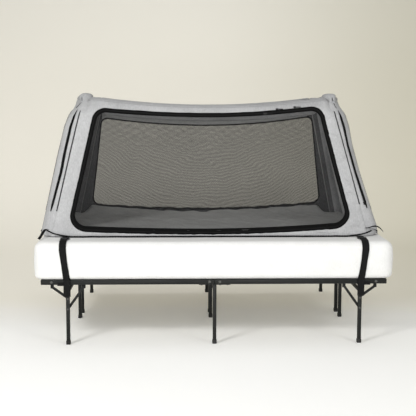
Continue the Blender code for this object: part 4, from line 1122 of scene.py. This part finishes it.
# %% Walks round an opening and round a wall
Opening = namedtuple("Opening", "foot_half top_half foot top sag corner foot_rise"
                                " right_rise right_out right_lean aside")
OPENINGS = {"front": Opening(0.77671, 0.62975, 0.01932, 0.71684, 0.040, 0.075, 0.022,
                             0.017, 0.013, -0.020, 0.0),
            "door": Opening(0.77450, 0.62975, 0.0298, 0.71684, 0.040, 0.075, 0.020,
                            0.017, 0.013, -0.020, 0.0),
            "back": Opening(0.74984, 0.67417, 0.03600, 0.64991, 0.055, 0.045, 0.032,
                            0.014, 0.0, 0.0, 0.0135)}
RUNS = (0.0, 0.17, 0.21, 0.38, 0.42, 0.5)
ROLL = 0.078
SEAM_TURNS = {"front_left": (10, 10, 10), "front_right": (14, 8.5, -2), "back_left": (8, 5, 2),
              "back_right": (8, 5, 2)}


def one_half(share):
    """Folds a share of the way round into one half of it, and says which side that is."""
    share %= 1.0
    return (1, share) if share <= 0.5 else (-1, 1 - share)


def walk_opening(name, share, grown=0.0):
    """The point (u, v) at a share of the way round an opening, from the middle of its foot."""
    o = OPENINGS[name]
    slant = (o.foot_half - o.top_half) / (o.top - o.foot)
    lean = math.atan(slant)
    wider = grown * math.hypot(1, slant)
    low_half, high_half = o.foot_half + slant * grown + wider, o.top_half - slant * grown + wider
    low, high, radius = o.foot - grown, o.top + grown, max(o.corner + grown, 0.004)
    low_half -= radius * math.tan((math.pi / 2 + lean) / 2)
    high_half -= radius * math.tan((math.pi / 2 - lean) / 2)
    low_centre = Vector((low_half, low + radius))
    high_centre = Vector((high_half, high - radius))
    way, share = one_half(share)
    for run, (start, stop) in enumerate(zip(RUNS, RUNS[1:])):
        if share < stop:
            break
    part = (share - start) / (stop - start)
    if run == 0:
        point = Vector((low_half * part, low))
    elif run == 2:
        spoke = radius * Vector((math.cos(lean), math.sin(lean)))
        point = (low_centre + spoke).lerp(high_centre + spoke, part)
    elif run == 4:
        point = Vector((high_half * (1 - part), high))
    else:
        centre, first, last = ((low_centre, -math.pi / 2, lean) if run == 1
                               else (high_centre, lean, math.pi / 2))
        angle = first + (last - first) * part
        point = centre + radius * Vector((math.cos(angle), math.sin(angle)))
    middle = (low + high) / 2
    half = o.top_half + slant * (o.top - middle)
    if point.y > middle:
        shift = -o.sag * max(0, 1 - (point.x / half) ** 2)
    else:
        shift = o.foot_rise * (point.x / o.foot_half) ** 2 * (middle - point.y) / (middle - low)
    right = point.x / o.foot_half if way > 0 else 0
    out = o.right_out + o.right_lean * (point.y - o.foot) / (o.top - o.foot)
    return way * point.x + o.aside + right * out, point.y + shift + o.right_rise * right ** 1.6


def up_post(marks, rise):
    """Reads three marks at the foot, the middle and the top of a post."""
    return between(tuple(zip((0.0, 0.345, 0.69), marks)), rise)


def seam_u(way, side, rise):
    """Where the seam between a wall and a post is, along the wall."""
    turn = math.radians(up_post(SEAM_TURNS.get(f"{way}_{side}", (9, 9, 9)), rise))
    return post_u(way, rise) + POST_R * math.sin(turn)


def wall_sides(way):
    return tuple(SIDES) if way in ENDS else tuple(ENDS)


def wall_edge(way, share):
    """The point (u, v) at a share of the way round a wall's own edge."""
    sign, share = one_half(share)
    side = wall_sides(way)[1 if sign > 0 else 0]
    tilt, inset = wall_tilt(way), 0.05
    head = beam_rise(way, BEAM_HALF) / math.cos(tilt)
    if share < 0.19:
        reach = seam_u(way, side, 0)
        return sign * between(((0, 0), (0.17, reach - inset), (0.19, reach)), share), 0.0
    if share < 0.40:
        v = between(((0.19, 0), (0.21, inset), (0.38, head - inset), (0.40, head)), share)
        return sign * seam_u(way, side, v * math.cos(tilt)), v
    reach = seam_u(way, side, head * math.cos(tilt))
    u = between(((0.40, reach), (0.42, reach - inset), (0.5, 0)), share)
    slope = min(1, max(0, (share - 0.40) / 0.02))
    return sign * u, head + (shoulder(way, u) + ROLL - head) * slope


def hug(way, u, v):
    """How far a wall's cloth falls back where it turns round a post."""
    rise = min(v, shoulder(way, u)) * math.cos(wall_tilt(way))
    past = min(abs(u) - post_u(way, rise), POST_R * 0.98)
    back = POST_R - math.sqrt(POST_R ** 2 - past ** 2) if past > 0 else 0.0
    near_ear = soft_step((abs(u) - post_u(way, BEAM_RISE) + 0.05) / 0.062)
    return back + 0.036 * near_ear * soft_step((v - shoulder(way, u) + 0.06) / 0.07)


print("door's top middle at", tuple(round(v, 3) for v in walk_opening("front", 0.5)))

# %% Wall cloth
def wall_wrinkle(way, u, v):
    """Soft drag lines, mostly level beside the opening and upright along the beam."""
    place = (u, v, len(way))
    level = ripple(place, 0.050, (0.45, 1.5, 1), seed=51.0)
    upright = ripple(place, 0.070, (1.6, 0.5, 1), seed=53.0)
    broad = ripple(place, 0.25, seed=55.0)
    high = min(1, max(0, (v - 0.62) / 0.1))
    bagging = 6.0 if way == "front" and u > 0.56 else 1.0
    return (0.0012 + max(0, level) * 0.0022 * bagging * (1 - high)
            + max(0, upright) * 0.0022 * high + max(0, broad) * 0.002)


def ringed_wall(way):
    """A wall with an opening in it."""
    def place(share, t):
        inner, outer = Vector(walk_opening(way, share, 0.008)), Vector(wall_edge(way, share))
        u, v = inner.lerp(outer, t)
        free = math.sin(math.pi * min(1, t * 1.02)) ** 0.7 if t < 0.98 else 0.0
        pucker = 0.0006 * (1 + math.sin(share * 620)) * (1 - t) ** 3
        lift = (wall_wrinkle(way, u, v) + 0.0025) * free + pucker
        return on_wall(way, u, v, 0.0008 + lift - hug(way, u, v))

    return 560, 26, place


def plain_wall(way):
    def place(share, up):
        v = (shoulder(way, 0) + ROLL) * up
        rise = min(v, shoulder(way, 0)) * math.cos(wall_tilt(way))
        left, right = (seam_u(way, side, rise) for side in wall_sides(way))
        u = -left * (1 - share) + right * share
        free = min(1, 8 * share, 8 * (1 - share)) * min(1, 10 * up)
        return on_wall(way, u, v, 0.0008 + wall_wrinkle(way, u, v) * free - hug(way, u, v))

    return 130, 130, place


def off_wall(way):
    """The way out of a wall's cloth: the wall's own, and out of the beam above it."""
    return lambda p: wall_normal(way) if p.z < FOOT + 0.65 else from_beam(way)(p)


def wall_cloth(way):
    """Lays a wall's cloth; above where the room shows it, its lining is paler, as painted light."""
    bm = lay_cloth(*(ringed_wall(way) if way in ENDS else plain_wall(way)), outward=off_wall(way))
    painted_light_from = FOOT + (0.40 if way == "back" else 0.69)
    for face in bm.faces:
        centre = face.calc_center_median()
        if centre.z > painted_light_from and (way != "back" or abs(centre.x - CENTRE) < 0.66):
            face.material_index = 2
    piece = make_piece(f"wall_cloth_{way}", bm, [HEATHER, LINING, HEATHER, PAINTED_LIGHT_LINING],
                       f"wall_{way}")
    thicken(piece, "cloth", 0.0010, -1, material_offset=1)


for way in WAYS:
    wall_cloth(way)

# %% [markdown]
# ## Nets
# The door is one sheet of black net in a rolled binding; it hangs from the zip all round and drops
# outward along its foot when the zip is open, so net and binding ride on the door's body. The
# window in the back wall is a second net, slacker, and the roof a third that sags between the
# beams.

# %% Door, window and roof nets
NET_CENTRE = 0.36


def net_sheet(opening, way, grown, bulge, seed):
    def place(share, t):
        rim_u, rim_v = walk_opening(opening, share, grown)
        u, v = rim_u * t, NET_CENTRE + (rim_v - NET_CENTRE) * t
        free = 1 - t ** 4
        slack = ripple((u, v, seed), 0.30, (1.0, 0.8, 1), seed=seed) * bulge * free
        drape = ripple((u + v * 0.4, v, seed), 0.09, (1.4, 0.5, 1), seed=seed + 2)
        drape = drape * bulge * 0.35 * free
        return on_wall(way, u, v, 0.0010 + max(-bulge, slack + drape - 0.2 * bulge * free))

    return lay_cloth(360, 60, place, outward=wall_normal(way))


def roof_point(s, t):
    half_x = POST_X - LEAN_X * BEAM_RISE + BEAM_OUT - BEAM_R - 0.001
    along, across = 2 * s - 1, 2 * t - 1
    x = half_x * along
    rise = beam_rise("front", x)
    half_y = POST_Y - LEAN_Y * rise + BEAM_OUT - BEAM_R - 0.001
    y = half_y * across
    corner = min(1, (math.hypot(half_x - abs(x), half_y - abs(y))) / 0.12)
    sag = (1 - along ** 2) * (1 - across ** 2) * 0.030
    slack = (ripple((x, y, 0), 0.2, seed=71.0) * 0.006 * corner
             * (1 - along ** 8) * (1 - across ** 8))
    return Vector((CENTRE + x, y, FOOT + rise - sag + slack))


bm = net_sheet("door", "front", -0.004, 0.006, 61.0)
door = make_piece("door_net_sheet", bm, [DOOR_NET], "door_panel", "door")
bm = net_sheet("back", "back", 0.004, 0.010, 65.0)
window = make_piece("window_net_sheet", bm, [WINDOW_NET], "back_window")
bm = lay_cloth(150, 60, roof_point, outward=UP)
roof = make_piece("roof_net_sheet", bm, [ROOF_NET], "roof_panel")

# %% [markdown]
# ## Zips, bindings and seams
# A zip is two woven tapes with a coil down the middle. Its strip is laid along a walk with a
# profile across it: flat tape, a stitched ridge at each side and the raised coil between. The
# strip's UV map is in metres, so the coil's teeth keep their pitch round the corners. The same tool
# lays bindings with a rolled edge and the flat seams that close the posts' covers.

# %% A tool that lays a strip along a walk
def mirrored(*half):
    """A strip's section from marks of (offset, height) on its right half."""
    return [(-offset, height) for offset, height in half[:0:-1]] + list(half)


ZIP_PROFILE = mirrored((0.0, 0.0021), (0.0006, 0.0027), (0.0024, 0.0024), (0.0034, 0.0009),
                       (0.0076, 0.0009), (0.0088, 0.0015), (0.0098, 0.0009), (0.0118, 0.0008),
                       (0.0122, 0.0))
ROLL_PROFILE = mirrored((0.0, 0.0023), (0.0030, 0.0020), (0.0052, 0.0012), (0.0055, 0.0))
FLAT_PROFILE = mirrored((0.0, 0.0004), (0.0012, 0.0009), (0.0038, 0.0007), (0.0040, 0.0))
COIL_HALF = 0.0030


def lay_strip(profile, columns, length, place, outward):
    """place(share, offset, height) is a point of the strip; the profile is its section across."""
    rows = len(profile) - 1

    def mark(t):
        return profile[min(rows, round(t * rows))]

    return lay_cloth(columns, rows, lambda share, t: place(share, *mark(t)), outward=outward,
                     uv=lambda share, t: (share * length, mark(t)[0]))


def zip_piece(name, bm, **more):
    """A zip's strip, whose middle gets the coil's finish."""
    layer = bm.loops.layers.uv[0]
    for face in bm.faces:
        across = sum(corner[layer].uv.y for corner in face.loops) / len(face.loops)
        face.material_index = 1 if abs(across) < COIL_HALF else 0
    make_piece(name, bm, [ZIP_TAPE, ZIP_COIL], **more)


def door_zip_point(share, offset, height):
    ring = (math.cos(share * 6.283) * 9, math.sin(share * 6.283) * 9, 0)
    wave = ripple(ring, 1.0, seed=81.0) * 0.0014
    lift = 0.0003 * (1 + math.sin(share * 380))
    return on_wall("front", *walk_opening("front", share, offset + wave), 0.0030 + lift + height)


def door_binding_point(share, offset, height):
    u, v = walk_opening("door", share, offset - 0.0070)
    return on_wall("front", u, v, 0.0012 + height * 0.7)


def inside_binding_point(share, offset, height):
    foot = soft_step(1.6 * math.cos(share * 2 * math.pi))
    wave = ripple((share * 60, 0, 0), 1.0, seed=83.0) * (0.0015 + 0.0045 * foot)
    u, v = walk_opening("back", share, offset * (0.28 + 1.15 * foot) + 0.001 + wave)
    return on_wall("back", u, v, -0.0004 - height - 0.0015)


def outside_binding_point(share, offset, height):
    return on_wall("back", *walk_opening("back", share, offset + 0.004), 0.0028 + height)


out = wall_normal("front")
zip_piece("door_zip_tape", lay_strip(ZIP_PROFILE, 760, 4.2, door_zip_point, out), node="door_zip")
bm = lay_strip(ROLL_PROFILE, 700, 4.1, door_binding_point, out)
door_binding = make_piece("door_binding", bm, [BINDING], body="door", slot="door_panel")
out = wall_normal("back")
for side, place, way in (("inside", inside_binding_point, -out),
                         ("outside", outside_binding_point, out)):
    bm = lay_strip(ROLL_PROFILE, 600, 3.9, place, way)
    make_piece(f"window_binding_{side}", bm, [BINDING], slot="back_window")

# %% Zips up the posts
ZIP_TURNS = {"front_left": (38, 26, 31), "front_right": (40, 33, 25), "back_left": (36, 34, 32),
             "back_right": (36, 34, 32)}


def post_zip(corner, s, e):
    low, high = 0.150 if s > 0 else 0.135, 0.695

    def place(share, offset, height):
        rise = low + (high - low) * share
        ends = 0.25 + 0.75 * min(1, 14 * share, 14 * (1 - share))
        turn = (math.radians(up_post(ZIP_TURNS[corner], rise))
                + offset * (0.75 if s > 0 else 0.55) * ends / POST_R)
        wave = ripple((rise * 14, s, e), 1.0, seed=85.0) * 0.012
        return on_post(s, e, turn + wave, rise, 0.0036 + height)

    zip_piece(f"post_zip_{corner}", lay_strip(ZIP_PROFILE, 300, 0.70, place, from_post(s, e)),
              slot=f"post_sleeve_{corner}")


for corner in CORNERS:
    post_zip(*corner)

# %% Seams and top stitching
def wall_seam(way, side):
    sign = 1 if side in ("right", "back") else -1
    cosine = math.cos(wall_tilt(way))
    head = beam_rise(way, BEAM_HALF) / cosine - 0.004
    low = 0.24 if side == "right" else 0.19

    def place(share, offset, height):
        v = head * (low + (1 - low) * share)
        u = seam_u(way, side, v * cosine) + offset * 0.85
        return on_wall(way, sign * u, v, 0.0016 + height - hug(way, u, v))

    return lay_strip(FLAT_PROFILE, 240, 0.72, place, wall_normal(way))


def ear_seam(s):
    def place(share, offset, height):
        rise = 0.705 + 0.076 * share
        turn = between(EAR_FOLDS[s], rise) + offset * 0.8 / 0.05
        return on_post(s, -1, turn, rise, post_wrinkle(s, -1, turn, rise) + 0.0010 + height)

    return lay_strip(FLAT_PROFILE, 60, 0.08, place, facing("front"))


def beam_stitch(way, over):
    """A row of stitching along a beam, a little over its shoulder."""
    reach = seam_u(way, wall_sides(way)[0], 0.69) - 0.02

    def place(share, offset, height):
        u = reach * (2 * share - 1)
        v = shoulder(way, u) + over
        lift = 0.0030 + wall_wrinkle(way, u, v) + height * 0.7
        return on_wall(way, u, v + offset * 0.40, lift - hug(way, u, v))

    return lay_strip(FLAT_PROFILE, 300, 1.4 if way in ENDS else 0.6, place, wall_normal(way))


seams = [wall_seam(way, side) for way in WAYS for side in wall_sides(way)]
seams += [ear_seam(s) for s in SIDES.values()]
make_piece("post_seams", gathered(seams), [SEAM_THREAD], slot="post_sleeve_front_left")
stitches = [beam_stitch(way, over) for way in WAYS for over in (0.024, 0.035)]
make_piece("beam_stitching", gathered(stitches), [TOP_THREAD], slot="top_sleeve_front")

# %% [markdown]
# ## Sliders
# A slider is a small shell that straddles the coil, with a bridge over its back and a pull tab
# through the bridge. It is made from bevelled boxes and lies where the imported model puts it, since
# it has to run along the zip. Each rides on its own body.

# %% Zip sliders
SLIDER_BARS = (((-0.011, -0.006, -0.0022), (0.006, 0.006, 0.0004), 0.0009, 0),
               ((-0.009, -0.0045, 0.0002), (0.004, 0.0045, 0.0014), 0.0006, 0),
               ((-0.007, -0.0014, 0.0012), (0.003, 0.0014, 0.0024), 0.0005, 0),
               ((0.001, -0.0032, 0.0018), (0.012, 0.0032, 0.0026), 0.0003, 0),
               ((0.010, -0.0030, 0.0016), (0.040, 0.0030, 0.0027), 0.0005, 1))


def slider(name, centre, along, normal, size=1.0, **more):
    axes = Matrix((along, normal.cross(along).normalized(), normal)).transposed().to_4x4()
    bm = bmesh.new()
    for bar in SLIDER_BARS:
        add_bar(bm, *bar)
    for x in (0.020, 0.024, 0.028, 0.032):
        add_bar(bm, (x, -0.0026, 0.0026), (x + 0.002, 0.0026, 0.0030), 0.0002, 1)
    bmesh.ops.scale(bm, verts=bm.verts, vec=(size, size, size))
    bm.transform(Matrix.Translation(centre) @ axes)
    make_piece(name, bm, [RUBBER, WEBBING], crisp=35, **more)


along = Vector((1, 0, 0))
slider("door_zip_slider_body", sum(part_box("door_slider"), Vector()) / 2, along,
       wall_normal("front"), node="door_slider", body="door_zip_slider")
o = OPENINGS["front"]
for k, x in enumerate((0.36, 0.46)):
    u = x - CENTRE
    v = o.top - o.sag * (1 - (u / o.top_half) ** 2) + o.right_rise * (u / o.foot_half) ** 1.6
    slider(f"door_zip_end_pull_{k + 1}", on_wall("front", u, v + 0.0135, 0.0070), along,
           wall_normal("front"), size=0.8, slot="door_zip")
turn = math.radians(33.75)
for corner, s, e in CORNERS:
    along = Vector((-s * LEAN_X, -e * LEAN_Y, 1)).normalized()
    level = Vector((s * math.sin(turn), e * math.cos(turn), 0))
    normal = UP.cross(level).cross(along).normalized()
    if normal.dot(level) < 0:
        normal = -normal
    centre = sum(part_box(f"side_slider_{corner}"), Vector()) / 2
    slider(f"post_zip_slider_{corner}", centre + normal * 0.003, along, normal,
           node=f"side_slider_{corner}", body=f"zip_slider_{corner}")

# %% [markdown]
# ## Straps, buckles and ties
# Four webbing straps tie the enclosure down: from the piping through a ladder buckle, over the
# mattress's edge and round the rail, with a loose tail below. Webbing is a ribbon, so each is laid
# along its own path with a slight twist, thickened to two millimetres, and cut ragged at the tail.

# %% Straps and loops round the rails
STRAP_WIDTH, STRAP_X, LOOP_X, BEND_Z = 0.038, 0.812, 0.824, 0.5163
STRAP_LINE = [(0.524, 0.5652), (0.560, 0.5650), (0.580, 0.5670), (0.600, 0.5655), (0.646, 0.5652),
              *((0.646 + 0.0490 * math.sin(math.radians(a)),
                 BEND_Z + 0.0489 * math.cos(math.radians(a))) for a in (20, 40, 60, 80)),
              (0.6965, 0.47), (0.6955, 0.42), (0.6925, 0.388), (0.6850, 0.3600), (0.6822, 0.350),
              (0.6818, 0.325), (0.6825, 0.265)]
LOOP_MARKS = ((0, 0.6818, 0.3415), (1 / 3, 0.6818, 0.3252), (2 / 3, 0.6508, 0.3252),
              (1, 0.6508, 0.3420))
STRAP_MARKS, run = [], 0.0
for one, other in zip(STRAP_LINE[:1] + STRAP_LINE, STRAP_LINE):
    run += math.hypot(other[0] - one[0], other[1] - one[1])
    STRAP_MARKS.append((run, *other))


def strap(corner, s, e):
    def place(share, t):
        y, z = between(STRAP_MARKS, share * run)
        drop = min(1, max(0, (BEND_Z - z) / 0.16))
        loose = max(0, ripple((z * 20, s, e), 1.0, seed=91.0))
        narrow = 1 - 0.10 * math.sin(math.pi * drop) - 0.04 * loose
        offset = (t - 0.5) * STRAP_WIDTH * narrow
        twist = math.sin(math.pi * drop) * 0.10 * s * e
        x = STRAP_X - 0.020 * drop + offset * math.cos(twist)
        frayed = ripple((t * 5, s * 2, e * 3), 1.0, seed=93.0) if share > 0.995 else 0
        return Vector((s * x, e * (y + 0.0006 + abs(offset * math.sin(twist))),
                       z + 0.003 * frayed))

    def looped(share, t):
        y, z = between(LOOP_MARKS, share)
        return Vector((s * (LOOP_X + (t - 0.5) * STRAP_WIDTH), e * y,
                       z - 0.0006 * math.sin(4 * share)))

    strip = lay_cloth(150, 8, place, uv=lambda share, t: (share * 0.50, t * STRAP_WIDTH),
                      outward=lambda p: Vector((0, e, 0)) if p.z < 0.5 else Vector((0, 0.2 * e, 1)))
    loop = lay_cloth(48, 6, looped, uv=lambda share, t: (share * 0.07, t * STRAP_WIDTH),
                     outward=lambda p: Vector((0, p.y - e * 0.667, p.z - 0.345)))
    piece = make_piece(f"webbing_{corner}", gathered([strip, loop]), [WEBBING], f"strap_{corner}")
    thicken(piece, "web", 0.0018, 0)


for corner in CORNERS:
    strap(*corner)

# %% Ladder buckles
for corner, s, e in CORNERS:
    (x0, y0, z0), (x1, y1, z1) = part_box(f"buckle_{corner}")
    bm = bmesh.new()
    add_bar(bm, (x0, y0, z0), (x0 + 0.006, y1, z1), edge=0.0018)
    add_bar(bm, (x1 - 0.006, y0, z0), (x1, y1, z1), edge=0.0018)
    for k in range(3):
        y = y0 + (y1 - y0 - 0.0055) * k / 2
        add_bar(bm, (x0 + 0.003, y, z1 - 0.0040 - 0.0015 * (k == 1)),
                (x1 - 0.003, y + 0.0055, z1 + 0.0006), edge=0.0014)
    make_piece(f"ladder_buckle_{corner}", bm, [MOULDED], f"buckle_{corner}", crisp=35)

# %% Corner ties
def ribbon(points, width, columns, twist):
    """A short strap along a smooth line through points, lying nearly level."""
    points = [Vector(point) for point in points]
    last = len(points) - 1

    def line(share):
        run = share * last
        k = min(int(run), last - 1)
        before, one, other, after = (points[max(0, min(last, k + j))] for j in (-1, 0, 1, 2))
        t = run - k
        return 0.5 * (2 * one + (other - before) * t
                      + (2 * before - 5 * one + 4 * other - after) * t * t
                      + (3 * one - before - 3 * other + after) * t ** 3)

    def place(share, t):
        along = (line(min(1, share + 0.01)) - line(max(0, share - 0.01))).normalized()
        turn = twist * share
        side = along.cross(UP).normalized() * math.cos(turn) + UP * math.sin(turn)
        return line(share) + side * (t - 0.5) * width

    return lay_cloth(columns, 5, place, uv=lambda share, t: (share * 0.10, t * width))


parts = [ribbon([(-0.916, -0.488, 0.6030), (-0.926, -0.506, 0.6050), (-0.935, -0.535, 0.5940),
                 (-0.944, -0.570, 0.5750), (-0.950, -0.602, 0.5660)], 0.015, 44, 0.5),
         ribbon([(0.850, -0.490, 0.6080), (0.868, -0.506, 0.6130), (0.888, -0.512, 0.6190),
                 (0.910, -0.514, 0.6190), (0.928, -0.514, 0.6080), (0.943, -0.512, 0.5920)],
                0.014, 44, -0.6),
         ribbon([(0.862, -0.492, 0.6100), (0.880, -0.500, 0.6060), (0.902, -0.505, 0.5990),
                 (0.914, -0.500, 0.5900)], 0.010, 30, 0.4)]
ties = make_piece("corner_ties", gathered(parts), [WEBBING], slot="base_panel")
thicken(ties, "web", 0.0016, 0)

# %% [markdown]
# ## Valve
# The bladder is blown up through a valve low on the back right post: a flange welded to the film, a
# short neck, and a cap that flips up on a strap. It is turned from round pins.

# %% Valve and cap
out = Vector((1, 1, 0)).normalized()
aside = Vector((-out.y, out.x, 0))
seat = post_axis(1, 1, 0.09)
bm = bmesh.new()
for near, far, radius, sides, edge in ((-0.012, 0.008, 0.0155, 40, 0.001),
                                       (-0.001, 0.0015, 0.0158, 40, 0.0006),
                                       (0.007, 0.0155, 0.0098, 32, 0.0008)):
    add_pin(bm, seat + out * (POST_R + near), seat + out * (POST_R + far), radius, sides, edge)
make_piece("valve_neck", bm, [MOULDED], "valve_body", crisp=35)

bm = bmesh.new()
cap_seat = seat + out * (POST_R + 0.0165)
add_pin(bm, cap_seat, cap_seat + out * 0.005, 0.0158, sides=40, edge=0.0012)
add_pin(bm, cap_seat + out * 0.004, cap_seat + out * 0.0056, 0.0095, sides=32, edge=0.0005)
for k in range(24):
    turn = 2 * math.pi * k / 24
    rim = cap_seat + (aside * math.cos(turn) + UP * math.sin(turn)) * 0.0155
    add_pin(bm, rim + out * 0.0008, rim + out * 0.0042, 0.0008, sides=6)
hinge = cap_seat + Vector((0, 0, 0.0165)) + out * 0.0025
add_pin(bm, hinge - aside * 0.006, hinge + aside * 0.006, 0.0022, sides=16, edge=0.0005)
make_piece("valve_flip_cap", bm, [MOULDED], "valve_cap", "cap", crisp=35)

# %% [markdown]
# ## Floor, backdrop and lights
# The picture has a pale floor that fades up into a beige backdrop, brighter at the left, and one
# broad soft shadow. A single curved sheet makes both, so no line crosses behind the legs. Its
# colour carries painted shade for the lamps' falloff: darker towards the right and, on the
# backdrop, higher up. Two large soft lamps stand in front and above, the left one stronger, a
# lower one fills between them, and the world does the rest. The paper glows a little, but only for
# the camera and in reflections, so that the floor is white without more light on the bed. It is
# clear from its back, so the bed can be looked at from there.

# %% Sweep
PAPER_GLOW = 0.16
FLOOR_START, FLOOR_RUN, BEND_RADIUS = -4.2, 6.6, 1.6


def sweep_point(s, t):
    run, arc = t * 13.0, BEND_RADIUS * math.pi / 2
    angle = max(0, min(run - FLOOR_RUN, arc)) / BEND_RADIUS
    return Vector((14 * (s - 0.5),
                   FLOOR_START + min(run, FLOOR_RUN) + BEND_RADIUS * math.sin(angle),
                   BEND_RADIUS * (1 - math.cos(angle)) + max(0, run - FLOOR_RUN - arc)))


paper = Finish("studio_paper", Roughness=0.95)
place = paper.add("TexCoord", output="Object")
x, y, z = paper.xyz(place)
back = paper.remap(y, -0.40, 0.60, soft=True)
# painted shade: the paper darkens to the right and the backdrop darkens upwards, for the lamps'
# falloff
aside = paper.remap(x, -0.2, 2.6, soft=True)
beige = paper.mix(paper.remap(z, 0.60, 2.30),
                  paper.mix(aside, (0.90, 0.87, 0.78, 1), (0.71, 0.68, 0.56, 1)),
                  paper.mix(aside, (0.77, 0.75, 0.68, 1), (0.62, 0.60, 0.51, 1)))
white = paper.mix(aside, (0.99, 0.99, 0.97, 1), (0.95, 0.95, 0.92, 1))
toned = paper.mix(back, white, beige)
rays = paper.add("LightPath").socket.node.outputs
seen, glossy, through = (Wire(paper, rays[f"Is {kind} Ray"])
                         for kind in ("Camera", "Glossy", "Transmission"))
direct = seen.maths("MAXIMUM", seen, seen.maths("MAXIMUM", glossy, through))
paper.take(Base_Color=toned, Emission_Color=toned, Emission_Strength=direct * PAPER_GLOW,
           Alpha=1.0 - paper.add("NewGeometry", output="Backfacing"))
paper.bump(paper.noise(place, 160.0, 3.0), 0.05, 0.0005)
bm = lay_cloth(24, 160, sweep_point, outward=Vector((0, -1, 1)))
make_object("sweep", bm, [paper.material])

# %% Lamps and world
def lamp(name, place, aim, size, power):
    data = bpy.data.lights.new(name, "AREA")
    data.shape = "RECTANGLE"
    data.size, data.size_y = size
    data.energy = power
    made = bpy.data.objects.new(name, data)
    made.location = place
    made.rotation_euler = (Vector(aim) - Vector(place)).to_track_quat("-Z", "Y").to_euler()
    made.visible_camera = False
    scene.collection.objects.link(made)


lamp("key_left", (-2.7, -4.0, 3.5), (0, -0.2, 0.4), (0.9, 0.9), 104)
lamp("fill_right", (2.9, -4.2, 3.1), (0, -0.2, 0.4), (1.0, 1.0), 48)
lamp("front_fill", (-0.4, -6.2, 1.2), (0, 0, 0.4), (3.0, 1.4), 98)
lamp("backdrop", (0.2, 1.4, 3.6), (0.2, 4.2, 1.0), (5.0, 1.0), 26)
scene.world = bpy.data.worlds.new("studio")
scene.world.use_nodes = True
background = scene.world.node_tree.nodes["Background"].inputs
background["Color"].default_value = (1.0, 0.99, 0.97, 1)
background["Strength"].default_value = 0.352
scene.view_settings.view_transform = "Standard"
print("lamps:", [o.name for o in scene.objects if o.type == "LIGHT"])
